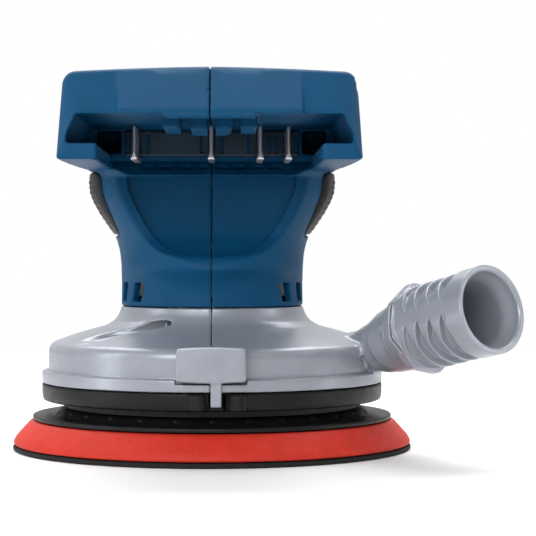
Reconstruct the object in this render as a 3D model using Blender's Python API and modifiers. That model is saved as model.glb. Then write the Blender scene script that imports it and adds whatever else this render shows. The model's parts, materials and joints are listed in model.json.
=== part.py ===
"""Cordless random orbital sander with a battery port, a dust outlet and a 125 mm foam pad.

Metres, +Z up. The motor axis is the Z axis and the sanding face lies in z = 0. The battery port
opens towards -Y, the rocker switch and the speed wheel face +Y, and the dust outlet leaves at +X.
"""

import math

import bmesh
import bpy
from mathutils import Matrix, Vector

# ---------------------------------------------------------------- driving dimensions
FIT = 0.0003                # gap between pieces that touch
SEAM = 0.0003               # gap between the two halves of a split casing
WALL = 0.0025               # moulded casing wall

PAD_RADIUS = 0.0625
HOOK_THICKNESS = 0.0015
FOAM_THICKNESS = 0.0075
FOAM_DRAFT = 0.0057         # how much narrower the foam is at its top
PLATE_THICKNESS = 0.0013    # rim of the pad's backing plate
DISC_HEIGHT = 0.0021        # raised disc on the backing plate
DISC_INSET = 0.0063         # from the plate's edge to the foot of the disc
DISC_DRAFT = 0.0027
DUST_HOLES = 8
DUST_HOLE_RADIUS = 0.0045
DUST_CIRCLE_RADIUS = 0.0325
AIR_HOLES = 28
AIR_HOLE_RADIUS = 0.0009
PAD_SCREWS = 4
PAD_SCREW_CIRCLE = 0.0135
SCREW_RADIUS = 0.0018
SCREW_HEAD_RADIUS = 0.0035
SCREW_HEAD_HEIGHT = 0.0024
SCREW_GRIP = 0.0055         # how far a pad screw reaches above its head
ORBIT_OFFSET = 0.00125      # the pad axis runs this far from the motor axis

CARRIER_RADIUS = 0.019
CARRIER_THICKNESS = 0.003
CARRIER_SHOULDER = 0.002
PAD_BEARING = (0.005, 0.013, 0.012)     # bore radius, outer radius, width
LOWER_BEARING = (0.004, 0.011, 0.007)
UPPER_BEARING = (0.003, 0.0095, 0.006)

FAN_RADIUS = 0.044
FAN_BLADES = 9
FAN_DISC = 0.0015
FAN_SOCKET_WALL = 0.003
FAN_WEB = 0.0015
FAN_HUB_RADIUS = 0.009
FAN_HUB_HEIGHT = 0.0055
FAN_TIP_GAP = 0.0046

RING_GAP = 0.0024           # from the pad's disc to the base ring
RING_HEIGHT = 0.0054
RING_OPENING = 0.040
SHROUD_WALL = 0.0023
BAND_STEP = 0.0021          # how far the lower band stands out of the shroud wall
BAND_HEIGHT = 0.0036
SHROUD_SIDE = 0.0108        # height of the shroud's upright wall
SHROUD_TOP_Z = 0.0446       # where the grey shroud meets the blue housing
WEB_THICKNESS = 0.0027
WEB_OPENING = 0.016

STATOR_RADIUS = 0.0245
STATOR_STACK = 0.0125
STATOR_YOKE = 0.0035
STATOR_TEETH = 6
TOOTH_WIDTH = 0.0070
COIL_WIDTH = 0.0023
COIL_END = 0.0035
AIR_GAP = 0.0007
ROTOR_RADIUS = 0.0128
MAGNET_THICKNESS = 0.0025
MOTOR_BORE_GAP = 0.0012
BEARING_PLATE_RADIUS = 0.0205
BEARING_PLATE_THICKNESS = 0.0031

BATTERY_WIDTH = 0.077       # the pack that slides into the port
RAIL_REACH = 0.0081         # how far each rail stands inwards
RAIL_LENGTH = 0.073
PORT_BACK_Y = -0.020        # closed end of the port
PORT_DRAFT = 0.0022         # the slot is narrower at its ceiling
SLOT_FOOT = 0.0022          # upright foot of the slot's walls, over the rails
SLOT_HEIGHT = 0.008
RAIL_THICKNESS = 0.0043
DECK_WALL = 0.0027
DECK_BOTTOM_Z = 0.0867
ROOF_Z = 0.0993             # lower edge of the roof over the port
CROWN = 0.0042              # the roof drops this much from its ridge to its edge
PALM_TOP_Z = 0.118
PALM_NOSE_Y = 0.047
GRIP_THICKNESS = 0.002
GRIP_BACKING = 0.003        # casing wall behind the rubber

OUTLET_MOUTH = Vector((0.0802, -0.0600, 0.0454))
OUTLET_AXIS = Vector((0.6117, -0.7588, 0.2243)).normalized()
OUTLET_RADIUS = 0.01305
OUTLET_BORE = 0.0111
OUTLET_LENGTH = 0.034
SPIGOT_RADIUS = 0.0100
SPIGOT_WALL = 0.0015
SPIGOT_LENGTH = 0.011

BLADE_X = (-0.0225, 0.0, 0.0144, 0.0227)
BLADE_THICKNESS = 0.001
WHEEL_RADIUS = 0.012
WHEEL_THICKNESS = 0.0044
ROCKER_SIZE = (0.016, 0.0050, 0.0088)
ROCKER_REST_DEG = -5.0

ROUND_STEPS = 40
SMALL_STEPS = 20

# ---------------------------------------------------------------- heights, from the sanding face up
FOAM_Z = HOOK_THICKNESS + FIT
PLATE_Z = FOAM_Z + FOAM_THICKNESS + FIT
DISC_Z = PLATE_Z + PLATE_THICKNESS
DISC_TOP_Z = DISC_Z + DISC_HEIGHT
CARRIER_Z = DISC_TOP_Z + FIT
CARRIER_TOP_Z = CARRIER_Z + CARRIER_THICKNESS
PAD_BEARING_Z = CARRIER_TOP_Z + CARRIER_SHOULDER + FIT
PAD_BEARING_TOP_Z = PAD_BEARING_Z + PAD_BEARING[2]
FAN_HUB_Z = PAD_BEARING_TOP_Z + FIT
SHAFT_Z = FAN_HUB_Z + FAN_WEB + FIT
FAN_HUB_TOP_Z = FAN_HUB_Z + FAN_WEB + FAN_HUB_HEIGHT
LOWER_BEARING_Z = FAN_HUB_TOP_Z + 2 * FIT
LOWER_BEARING_TOP_Z = LOWER_BEARING_Z + LOWER_BEARING[2]
RING_Z = DISC_TOP_Z + RING_GAP
RING_TOP_Z = RING_Z + RING_HEIGHT
SHROUD_Z = RING_TOP_Z + FIT
SHOULDER_Z = SHROUD_Z + SHROUD_SIDE
BEARING_PLATE_Z = LOWER_BEARING_Z + FIT
WEB_Z = BEARING_PLATE_Z - FIT - WEB_THICKNESS
HOUSING_Z = SHROUD_TOP_Z + FIT
STATOR_Z = LOWER_BEARING_TOP_Z + 0.0025
STATOR_TOP_Z = STATOR_Z + STATOR_STACK
COIL_TOP_Z = STATOR_TOP_Z + COIL_END
UPPER_BEARING_Z = COIL_TOP_Z + 0.0035
UPPER_BEARING_TOP_Z = UPPER_BEARING_Z + UPPER_BEARING[2]

SHROUD_RADIUS = FAN_RADIUS + FAN_TIP_GAP + SHROUD_WALL + 0.0002
BAND_RADIUS = SHROUD_RADIUS + BAND_STEP
MOTOR_BORE = STATOR_RADIUS + MOTOR_BORE_GAP
NECK_RADIUS = MOTOR_BORE + WALL + 0.0002
DEEP_WALL = GRIP_THICKNESS + GRIP_BACKING

DECK_HALF = BATTERY_WIDTH / 2 + DECK_WALL
DECK_REAR_Y = PORT_BACK_Y - RAIL_LENGTH
RAIL_INNER = BATTERY_WIDTH / 2 - RAIL_REACH
RAIL_TOP_Z = DECK_BOTTOM_Z + RAIL_THICKNESS
CEILING_Z = RAIL_TOP_Z + SLOT_HEIGHT
ROOF_FLOOR_Z = CEILING_Z + WALL
LIP_Z = DECK_BOTTOM_Z - 0.0023

# The neck: height, then how far its half-width, front and rear stand out of the motor's waist,
# and how far the rubber grip stands out of the neck.
NECK_STATIONS = [
    (HOUSING_Z, 0.0, 0.0, 0.0, 0.0),
    (0.0500, 0.0, 0.0, 0.0002, 0.0),
    (0.0535, 0.0, 0.0002, 0.0018, 0.0),
    (0.0566, 0.0001, 0.0008, 0.0046, 0.0),
    (0.0600, 0.0003, 0.0018, 0.0046, 0.0),
    (0.0650, 0.0014, 0.0039, 0.0046, 0.0),
    (0.0690, 0.0032, 0.0061, 0.0046, 0.0006),
    (0.0740, 0.0056, 0.0091, 0.0046, 0.0015),
    (0.0794, 0.0078, 0.0116, 0.0046, 0.0019),
    (0.0860, 0.0084, 0.0131, 0.0046, 0.0018),
    (0.0920, 0.0084, 0.0131, 0.0046, 0.0018),
]
# The recess that clears the battery: its surface as (y, z), from the ledge up to the lip.
RECESS_RIM_Z = 0.0566
RECESS_CURVE = [
    (-NECK_RADIUS - 0.0024, 0.0601), (-NECK_RADIUS + 0.0008, 0.0620),
    (-NECK_RADIUS + 0.0038, 0.0650), (-NECK_RADIUS + 0.0058, 0.0700),
    (PORT_BACK_Y - 0.0012, 0.0760), (PORT_BACK_Y, LIP_Z),
]
# The palm: y, what its half-width loses against the deck's, its underside, its top and the
# radius of its upper edges.
PALM_STATIONS = [
    (DECK_REAR_Y, 0.0000, DECK_BOTTOM_Z, PALM_TOP_Z - 0.0062, 0.0036),
    (-0.0820, 0.0000, DECK_BOTTOM_Z, PALM_TOP_Z - 0.0056, 0.0036),
    (-0.0600, 0.0003, DECK_BOTTOM_Z, PALM_TOP_Z - 0.0044, 0.0038),
    (-0.0400, 0.0010, DECK_BOTTOM_Z, PALM_TOP_Z - 0.0026, 0.0048),
    (-0.0200, 0.0020, DECK_BOTTOM_Z, PALM_TOP_Z - 0.0010, 0.0064),
    (0.0000, 0.0032, DECK_BOTTOM_Z, PALM_TOP_Z, 0.0085),
    (0.0150, 0.0050, DECK_BOTTOM_Z, PALM_TOP_Z - 0.0007, 0.0100),
    (0.0280, 0.0095, DECK_BOTTOM_Z + 0.0002, PALM_TOP_Z - 0.0024, 0.0100),
    (0.0380, 0.0160, DECK_BOTTOM_Z + 0.0005, PALM_TOP_Z - 0.0046, 0.0090),
    (0.0440, 0.0205, DECK_BOTTOM_Z + 0.0009, PALM_TOP_Z - 0.0066, 0.0080),
    (PALM_NOSE_Y, 0.0240, DECK_BOTTOM_Z + 0.0018, PALM_TOP_Z - 0.0086, 0.0070),
]

PARTS = "orbital_sander"
CUTTERS = "cutters"


# ---------------------------------------------------------------- scene helpers
def clear_scene():
    for old in list(bpy.data.objects):
        bpy.data.objects.remove(old)
    for name in (PARTS, CUTTERS):
        collection = bpy.data.collections.new(name)
        bpy.context.scene.collection.children.link(collection)
    bpy.data.collections[CUTTERS].hide_render = True


def material(name, colour, roughness, metallic=0.0):
    made = bpy.data.materials.get(name)
    if made is None:
        made = bpy.data.materials.new(name)
        made.use_nodes = True
        shader = made.node_tree.nodes["Principled BSDF"]
        shader.inputs["Base Color"].default_value = (*colour, 1.0)
        shader.inputs["Roughness"].default_value = roughness
        shader.inputs["Metallic"].default_value = metallic
    return made


BLUE = ("blue_plastic", (0.02, 0.15, 0.32), 0.5)
GREY = ("grey_casting", (0.40, 0.41, 0.45), 0.4, 0.6)
RUBBER = ("black_rubber", (0.015, 0.015, 0.017), 0.8)
BLACK = ("black_plastic", (0.02, 0.02, 0.022), 0.45)
RED = ("red_foam", (0.72, 0.05, 0.03), 0.7)
HOOK = ("hook_fabric", (0.02, 0.02, 0.02), 0.95)
STEEL = ("steel", (0.6, 0.6, 0.62), 0.3, 1.0)
ALUMINIUM = ("aluminium", (0.7, 0.7, 0.72), 0.4, 1.0)
LAMINATION = ("lamination_steel", (0.30, 0.31, 0.33), 0.5, 0.9)
MAGNET = ("magnet", (0.18, 0.18, 0.2), 0.35, 0.8)
COPPER = ("copper", (0.72, 0.34, 0.18), 0.3, 1.0)
TIN = ("tinned_contact", (0.75, 0.73, 0.72), 0.3, 1.0)
BOARD = ("circuit_board", (0.02, 0.18, 0.08), 0.5)
RED_WIRE = ("red_wire", (0.6, 0.02, 0.02), 0.5)
BLACK_WIRE = ("black_wire", (0.02, 0.02, 0.02), 0.5)
YELLOW_WIRE = ("yellow_wire", (0.7, 0.5, 0.03), 0.5)


def mesh_object(name, bm, paint=None, parent=None):
    """The bmesh as an object: a part where it has paint, and otherwise a hidden cutter."""
    bmesh.ops.recalc_face_normals(bm, faces=bm.faces)
    mesh = bpy.data.meshes.new(name)
    bm.to_mesh(mesh)
    bm.free()
    return place(bpy.data.objects.new(name, mesh), paint, parent)


def place(made, paint=None, parent=None):
    if paint is None:
        bpy.data.collections[CUTTERS].objects.link(made)
        made.hide_render = True
        made.display_type = "WIRE"
    else:
        bpy.data.collections[PARTS].objects.link(made)
        made.data.materials.clear()
        made.data.materials.append(material(*paint))
    made.parent = parent
    return made


def axis_empty(name, location, direction=Vector((0, 0, 1))):
    """An empty on a joint's axis, with its own Z along that axis."""
    empty = bpy.data.objects.new(name, None)
    bpy.data.collections[PARTS].objects.link(empty)
    empty.location = location
    empty.rotation_euler = Vector((0, 0, 1)).rotation_difference(direction).to_euler()
    return empty


def baked(source, name, paint=None, parent=None):
    """A copy of an object with its modifiers applied, in the source's own frame."""
    bpy.context.view_layer.update()
    graph = bpy.context.evaluated_depsgraph_get()
    mesh = bpy.data.meshes.new_from_object(source.evaluated_get(graph))
    mesh.name = name
    copy = bpy.data.objects.new(name, mesh)
    copy.matrix_world = source.matrix_world
    return place(copy, paint, parent)


def boolean(target, operation, *tools):
    for tool in tools:
        modifier = target.modifiers.new(f"{operation.lower()}_{tool.name}", "BOOLEAN")
        modifier.operation = operation
        modifier.object = tool
    return target


def cut(target, *tools):
    return boolean(target, "DIFFERENCE", *tools)


def join(target, *tools):
    return boolean(target, "UNION", *tools)


def keep(target, *tools):
    return boolean(target, "INTERSECT", *tools)


def bevel(target, width, segments=1, angle=40):
    modifier = target.modifiers.new("rounded_edges", "BEVEL")
    modifier.width = width
    modifier.segments = segments
    modifier.limit_method = "ANGLE"
    modifier.angle_limit = math.radians(angle)
    return target


def box(name, low, high, paint=None, parent=None):
    bm = bmesh.new()
    bmesh.ops.create_cube(bm, size=1.0)
    low, high = Vector(low), Vector(high)
    bmesh.ops.scale(bm, vec=high - low, verts=bm.verts)
    bmesh.ops.translate(bm, vec=(low + high) / 2, verts=bm.verts)
    return mesh_object(name, bm, paint, parent)


def rod(name, start, end, radius, paint=None, parent=None, steps=SMALL_STEPS, end_radius=None):
    """A cylinder or cone between two points."""
    start, end = Vector(start), Vector(end)
    along = end - start
    turn = along.to_track_quat("Z", "Y").to_matrix().to_4x4()
    bm = bmesh.new()
    bmesh.ops.create_cone(
        bm, cap_ends=True, segments=steps, radius1=radius,
        radius2=radius if end_radius is None else end_radius, depth=along.length,
        matrix=Matrix.Translation((start + end) / 2) @ turn,
    )
    return mesh_object(name, bm, paint, parent)


def turned(name, profile, paint=None, parent=None, steps=ROUND_STEPS):
    """A profile of (radius, z), running down its outer side, turned round Z."""
    on_axis = profile[0][0] < 1e-7 and profile[-1][0] < 1e-7
    bm = bmesh.new()
    corners = [bm.verts.new((radius, 0.0, z)) for radius, z in profile]
    pairs = list(zip(corners, corners[1:]))
    if not on_axis:
        pairs.append((corners[-1], corners[0]))
    for pair in pairs:
        bm.edges.new(pair)
    mesh = bpy.data.meshes.new(name)
    bm.to_mesh(mesh)
    bm.free()
    made = place(bpy.data.objects.new(name, mesh), paint, parent)
    screw = made.modifiers.new("turn", "SCREW")
    screw.steps = screw.render_steps = steps
    screw.use_merge_vertices = True
    screw.merge_threshold = 0.00001
    screw.use_smooth_shade = False
    return made


def tube_profile(inner, outer, low, high, chamfer=0.0):
    return [
        (outer - chamfer, high), (outer, high - chamfer), (outer, low + chamfer),
        (outer - chamfer, low), (inner, low), (inner, high),
    ] if chamfer else [(outer, high), (outer, low), (inner, low), (inner, high)]


def loft(name, rings, paint=None, parent=None):
    """A closed solid through rings of equal point counts, with a cap at each end."""
    bm = bmesh.new()
    loops = [[bm.verts.new(point) for point in ring] for ring in rings]
    count = len(rings[0])
    for near, far in zip(loops, loops[1:]):
        for i in range(count):
            j = (i + 1) % count
            bm.faces.new((near[i], near[j], far[j], far[i]))
    bm.faces.new(list(reversed(loops[0])))
    bm.faces.new(loops[-1])
    return mesh_object(name, bm, paint, parent)


def prism_x(name, outline, half_width, paint=None):
    """An outline of (y, z) from -half_width to half_width in X."""
    return loft(name, [[(x, y, z) for y, z in outline] for x in (-half_width, half_width)], paint)


def plate(name, outlines, low, high, paint=None, parent=None):
    """Flat closed outlines of (x, y), the later ones holes in the first, between two heights."""
    curve = bpy.data.curves.new(name, "CURVE")
    curve.dimensions = "2D"
    curve.fill_mode = "BOTH"
    curve.extrude = (high - low) / 2
    for outline in outlines:
        spline = curve.splines.new("POLY")
        spline.points.add(len(outline) - 1)
        for point, (x, y) in zip(spline.points, outline):
            point.co = (x, y, 0.0, 1.0)
        spline.use_cyclic_u = True
    source = bpy.data.objects.new(name + "_outline", curve)
    bpy.data.collections[CUTTERS].objects.link(source)
    made = baked(source, name, paint, parent)
    bpy.data.objects.remove(source)
    bm = bmesh.new()
    bm.from_mesh(made.data)
    bmesh.ops.remove_doubles(bm, verts=bm.verts, dist=0.000005)
    bmesh.ops.translate(bm, vec=(0, 0, (low + high) / 2), verts=bm.verts)
    bm.to_mesh(made.data)
    bm.free()
    return made


def circle(radius, steps, centre=(0.0, 0.0), start=0.0, sweep=2 * math.pi, closed=True):
    last = steps if closed else steps - 1
    return [
        (centre[0] + radius * math.cos(start + sweep * i / last),
         centre[1] + radius * math.sin(start + sweep * i / last))
        for i in range(steps)
    ]


def around(count, radius, phase=0.0):
    """Points spaced evenly round a circle, with their angles."""
    for i in range(count):
        angle = phase + 2 * math.pi * i / count
        yield i + 1, angle, radius * math.cos(angle), radius * math.sin(angle)


def wire(name, points, radius, paint):
    """A round lead along a smooth line through the points, at rest in its casing."""
    curve = bpy.data.curves.new(name, "CURVE")
    curve.dimensions = "3D"
    curve.bevel_depth = radius
    curve.bevel_resolution = 1
    curve.use_fill_caps = True
    points = [Vector(p) for p in points]
    fine = []
    for i in range(len(points) - 1):
        before, after = points[max(i - 1, 0)], points[min(i + 2, len(points) - 1)]
        for step in range(3):
            fine.append(catmull_rom(before, points[i], points[i + 1], after, step / 3))
    fine.append(points[-1])
    spline = curve.splines.new("POLY")
    spline.points.add(len(fine) - 1)
    for point, place_at in zip(spline.points, fine):
        point.co = (*place_at, 1.0)
    made = bpy.data.objects.new(name, curve)
    return place(made, paint)


def catmull_rom(a, b, c, d, t):
    return 0.5 * ((2 * b) + (c - a) * t + (2 * a - 5 * b + 4 * c - d) * t * t
                  + (3 * b - a - 3 * c + d) * t ** 3)


# ---------------------------------------------------------------- the pad
def dust_cutters(parent):
    return [
        rod(f"dust_cutter_{n}", (x, y, -0.002), (x, y, CARRIER_Z + 0.002), DUST_HOLE_RADIUS,
            parent=parent, steps=10)
        for n, _, x, y in around(DUST_HOLES, DUST_CIRCLE_RADIUS, math.pi / DUST_HOLES)
    ]


def screw_access_cutters(parent, radius, top, tag):
    return [
        rod(f"{tag}_{n}", (x, y, -0.002), (x, y, top), radius, parent=parent, steps=10)
        for n, _, x, y in around(PAD_SCREWS, PAD_SCREW_CIRCLE, math.pi / PAD_SCREWS)
    ]


def make_pad(axis):
    dust = dust_cutters(axis)
    head_ways = screw_access_cutters(axis, SCREW_HEAD_RADIUS + 3 * FIT, PLATE_Z - FIT / 2, "head_way")
    shank_ways = screw_access_cutters(axis, SCREW_RADIUS + FIT, CARRIER_TOP_Z + 0.002, "shank_way")

    edge = 0.0006
    hook = turned("pad_hook_face", [
        (0.0, HOOK_THICKNESS), (PAD_RADIUS, HOOK_THICKNESS), (PAD_RADIUS, edge),
        (PAD_RADIUS - edge, 0.0), (0.0, 0.0),
    ], HOOK, axis)
    cut(hook, *dust, *head_ways)

    foam_top = PLATE_Z - FIT
    foam = turned("pad_foam", [
        (0.0, foam_top), (PAD_RADIUS - FOAM_DRAFT, foam_top),
        (PAD_RADIUS, FOAM_Z + 0.0012), (PAD_RADIUS - 0.0003, FOAM_Z), (0.0, FOAM_Z),
    ], RED, axis)
    cut(foam, *dust, *head_ways)

    rim = PAD_RADIUS - FOAM_DRAFT - 0.0006
    foot = rim - DISC_INSET + 0.0006
    backing = turned("pad_backing_plate", [
        (0.0, DISC_TOP_Z), (foot - DISC_DRAFT, DISC_TOP_Z), (foot, DISC_Z),
        (rim, DISC_Z), (rim, PLATE_Z), (0.0, PLATE_Z),
    ], BLACK, axis)
    cut(backing, *dust, *shank_ways)
    slope_radius = foot - DISC_DRAFT / 2
    slope_z = (DISC_Z + DISC_TOP_Z) / 2
    for n, angle, x, y in around(AIR_HOLES, slope_radius):
        out = Vector((math.cos(angle), math.sin(angle), 0.9)).normalized() * 0.0022
        centre = Vector((x, y, slope_z))
        cut(backing, rod(f"air_hole_{n}", centre - out * 0.7, centre + out, AIR_HOLE_RADIUS,
                         parent=axis, steps=6))

    for n, _, x, y in around(PAD_SCREWS, PAD_SCREW_CIRCLE, math.pi / PAD_SCREWS):
        head_top = PLATE_Z - FIT
        low = head_top - SCREW_HEAD_HEIGHT
        screw = turned(f"pad_screw_{n}", [
            (0.0, head_top + SCREW_GRIP), (SCREW_RADIUS, head_top + SCREW_GRIP),
            (SCREW_RADIUS, head_top), (SCREW_HEAD_RADIUS, head_top),
            (SCREW_HEAD_RADIUS, low + 0.0005), (SCREW_HEAD_RADIUS - 0.0005, low), (0.0, low),
        ], STEEL, axis, steps=12)
        screw.location = (x, y, 0.0)
        hex_way = rod(f"hex_way_{n}", (x, y, low - 0.001), (x, y, low + 0.0014), 0.0016,
                      parent=axis, steps=6)
        cut(screw, hex_way)


def make_carrier(axis):
    bore, _, width = PAD_BEARING
    pin = bore - FIT
    carrier = turned("pad_carrier", [
        (0.0, PAD_BEARING_TOP_Z - FIT), (pin, PAD_BEARING_TOP_Z - FIT),
        (pin, PAD_BEARING_Z - FIT), (pin + 0.0022, PAD_BEARING_Z - FIT),
        (pin + 0.0022, CARRIER_TOP_Z), (CARRIER_RADIUS, CARRIER_TOP_Z),
        (CARRIER_RADIUS, CARRIER_Z), (0.0, CARRIER_Z),
    ], ALUMINIUM, axis, steps=32)
    cut(carrier, *screw_access_cutters(axis, SCREW_RADIUS + FIT, CARRIER_TOP_Z + 0.002, "thread_way"))


def make_bearing(name, sizes, low, parent):
    """A sealed ball bearing: the outer race carries the shields, and the inner race is a plain sleeve."""
    bore, outer, width = sizes
    middle = bore + (outer - bore) * 0.34
    high = low + width
    turned(f"{name}_outer_race", tube_profile(middle + FIT, outer, low, high, 0.0004),
           STEEL, parent, steps=SMALL_STEPS)
    return turned(f"{name}_inner_race", tube_profile(bore, middle, low, high),
                  ALUMINIUM, parent, steps=SMALL_STEPS)


# ---------------------------------------------------------------- the drive
def make_fan(axis):
    _, race, _ = PAD_BEARING
    socket = race + FIT
    wall = socket + ORBIT_OFFSET + FAN_SOCKET_WALL
    disc_top = SHOULDER_Z - SHROUD_WALL - 0.0006
    disc = disc_top - FAN_DISC
    fan = turned("fan_wheel", [
        (0.0, FAN_HUB_TOP_Z), (FAN_HUB_RADIUS, FAN_HUB_TOP_Z),
        (FAN_HUB_RADIUS, FAN_HUB_Z + FAN_WEB), (wall, FAN_HUB_Z + FAN_WEB - 0.0004),
        (wall, disc_top), (FAN_RADIUS, disc_top), (FAN_RADIUS, disc),
        (wall, disc), (wall, PAD_BEARING_Z + FIT), (0.0, PAD_BEARING_Z + FIT),
    ], BLACK, axis)
    blade_low = RING_TOP_Z + 0.0016
    for n, angle, _, _ in around(FAN_BLADES, 1.0):
        blade = box(f"fan_blade_{n}", (wall - 0.0005, -0.0006, blade_low),
                    (FAN_RADIUS - 0.0006, 0.0006, disc_top - 0.0004), parent=axis)
        blade.rotation_euler = (0.0, 0.0, angle)
        join(fan, blade)
    pocket = rod("pad_bearing_pocket", (0.0, ORBIT_OFFSET, PAD_BEARING_Z - 0.004),
                 (0.0, ORBIT_OFFSET, FAN_HUB_Z), socket, steps=SMALL_STEPS)
    shaft_bore, _, _ = LOWER_BEARING
    shaft_way = rod("shaft_way", (0.0, 0.0, FAN_HUB_Z + FAN_WEB), (0.0, 0.0, FAN_HUB_TOP_Z + 0.002),
                    shaft_bore, parent=axis)
    cut(fan, pocket, shaft_way)

    sweep = math.radians(130)
    start = -math.pi / 2 - sweep / 2
    inner = circle(wall + FIT, 13, start=start, sweep=sweep, closed=False)
    outer = circle(FAN_RADIUS * 0.72, 13, start=start, sweep=sweep, closed=False)
    plate("counterweight", [outer + inner[::-1]], disc_top + FIT, disc_top + FIT + 0.0018,
          STEEL, axis)


def shaft_radius_at_fan():
    return LOWER_BEARING[0] - FIT


def make_motor(axis):
    upper_bore = UPPER_BEARING[0] - FIT
    main = shaft_radius_at_fan()
    step_z = UPPER_BEARING_Z - FIT
    turned("motor_shaft", [
        (0.0, UPPER_BEARING_TOP_Z + 0.0006), (upper_bore, UPPER_BEARING_TOP_Z + 0.0006),
        (upper_bore, step_z), (main, step_z), (main, SHAFT_Z), (0.0, SHAFT_Z),
    ], STEEL, axis, steps=20)
    core = ROTOR_RADIUS - MAGNET_THICKNESS
    turned("rotor_core", tube_profile(main + FIT, core - FIT, STATOR_Z, STATOR_TOP_Z),
           LAMINATION, axis, steps=SMALL_STEPS)
    turned("rotor_magnet", tube_profile(core, ROTOR_RADIUS, STATOR_Z - 0.0006, STATOR_TOP_Z + 0.0006),
           MAGNET, axis, steps=36)
    make_bearing("lower_bearing", LOWER_BEARING, LOWER_BEARING_Z, axis)
    make_bearing("upper_bearing", UPPER_BEARING, UPPER_BEARING_Z, axis)


def stator_slots():
    """The stator's inner outline: a pole shoe on each tooth, with a wire slot between teeth."""
    face = ROTOR_RADIUS + AIR_GAP
    shoe = face + 0.0013
    yoke = STATOR_RADIUS - STATOR_YOKE
    pitch = 2 * math.pi / STATOR_TEETH
    shoe_half = pitch * 0.44
    outline = []
    for tooth in range(STATOR_TEETH):
        mid = tooth * pitch
        neck_low = math.asin(TOOTH_WIDTH / 2 / shoe)
        neck_high = math.asin(TOOTH_WIDTH / 2 / yoke)
        for radius, turn in [(yoke, -neck_high), (shoe, -neck_low), (shoe, -shoe_half)]:
            outline.append((radius * math.cos(mid + turn), radius * math.sin(mid + turn)))
        outline += circle(face, 6, start=mid - shoe_half, sweep=2 * shoe_half, closed=False)
        for radius, turn in [(shoe, shoe_half), (shoe, neck_low), (yoke, neck_high)]:
            outline.append((radius * math.cos(mid + turn), radius * math.sin(mid + turn)))
        arc = circle(yoke, 5, start=mid + neck_high, sweep=pitch - 2 * neck_high, closed=False)
        outline += arc[1:-1]
    return outline


def make_stator():
    plate("stator_core", [circle(STATOR_RADIUS, ROUND_STEPS), stator_slots()],
          STATOR_Z, STATOR_TOP_Z, LAMINATION)
    inner = ROTOR_RADIUS + AIR_GAP + 0.0013 + FIT
    half = TOOTH_WIDTH / 2
    side = half + FIT + COIL_WIDTH
    outer = math.sqrt((STATOR_RADIUS - STATOR_YOKE - FIT) ** 2 - side ** 2)
    low, high = STATOR_Z - COIL_END, STATOR_TOP_Z + COIL_END
    windings = turned("stator_windings", tube_profile(inner + 0.0018, outer - 0.0006,
                                                      high - 0.0014, high), COPPER)
    for n, angle, _, _ in around(STATOR_TEETH, 1.0):
        coil = box(f"coil_{n}", (inner, -side, low), (outer, side, high))
        bevel(coil, 0.0012)
        window = box(f"coil_window_{n}", (inner - 0.002, -half - FIT, STATOR_Z - FIT),
                     (outer + 0.002, half + FIT, STATOR_TOP_Z + FIT))
        coil.rotation_euler = window.rotation_euler = (0.0, 0.0, angle)
        cut(coil, window)
        join(windings, coil)


def make_bearing_seats():
    _, race, width = LOWER_BEARING
    hub = race + FIT
    turned("lower_bearing_plate", [
        (hub + 0.003, LOWER_BEARING_TOP_Z), (hub + 0.003, BEARING_PLATE_Z + BEARING_PLATE_THICKNESS),
        (BEARING_PLATE_RADIUS, BEARING_PLATE_Z + BEARING_PLATE_THICKNESS),
        (BEARING_PLATE_RADIUS, BEARING_PLATE_Z), (hub, BEARING_PLATE_Z), (hub, LOWER_BEARING_TOP_Z),
    ], ALUMINIUM)
    _, race, width = UPPER_BEARING
    hub = race + FIT
    low = UPPER_BEARING_Z + 0.0004
    turned("upper_bearing_bracket", [
        (hub + 0.0024, UPPER_BEARING_TOP_Z + 0.0004), (hub + 0.0024, low + 0.0026),
        (0.0190, low + 0.0026), (0.0190, low), (hub, low), (hub, UPPER_BEARING_TOP_Z + 0.0004),
    ], BLACK, steps=36)
    turned("rotor_sensor_board", tube_profile(0.011, 0.0195, COIL_TOP_Z + 0.0006,
                                              COIL_TOP_Z + 0.0018), BOARD, steps=32)


# ---------------------------------------------------------------- the grey shroud
def shroud_profile():
    """The shroud's section: the band, the upright wall, the cone up to the neck, and the web inside."""
    neck = NECK_RADIUS
    inner = SHROUD_RADIUS - SHROUD_WALL
    span = SHROUD_RADIUS - neck
    rise = SHROUD_TOP_Z - SHOULDER_Z
    # Outer cone as shares of its run outwards and its rise.
    cone = [(0.03, 0.84), (0.07, 0.72), (0.17, 0.57), (0.37, 0.45), (0.59, 0.34),
            (0.79, 0.22), (0.93, 0.125), (0.985, 0.05)]
    profile = [(neck, SHROUD_TOP_Z)]
    profile += [(neck + run * span, SHOULDER_Z + up * rise) for run, up in cone]
    profile += [
        (SHROUD_RADIUS, SHOULDER_Z - 0.0010),
        (SHROUD_RADIUS, SHROUD_Z + BAND_HEIGHT + 0.0007),
        (BAND_RADIUS, SHROUD_Z + BAND_HEIGHT),
        (BAND_RADIUS, SHROUD_Z),
        (inner, SHROUD_Z),
        (inner, SHOULDER_Z - SHROUD_WALL),
        (neck + 0.59 * span, WEB_Z - 0.0026),
        (neck - 0.0040, WEB_Z - 0.0026),
        (neck - 0.0070, WEB_Z),
        (WEB_OPENING, WEB_Z),
        (WEB_OPENING, WEB_Z + WEB_THICKNESS),
        (MOTOR_BORE, WEB_Z + WEB_THICKNESS),
        (MOTOR_BORE, SHROUD_TOP_Z),
    ]
    return profile


def outlet_frame(back):
    """A point on the outlet's axis, a distance back from its mouth."""
    return OUTLET_MOUTH - OUTLET_AXIS * back


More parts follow.
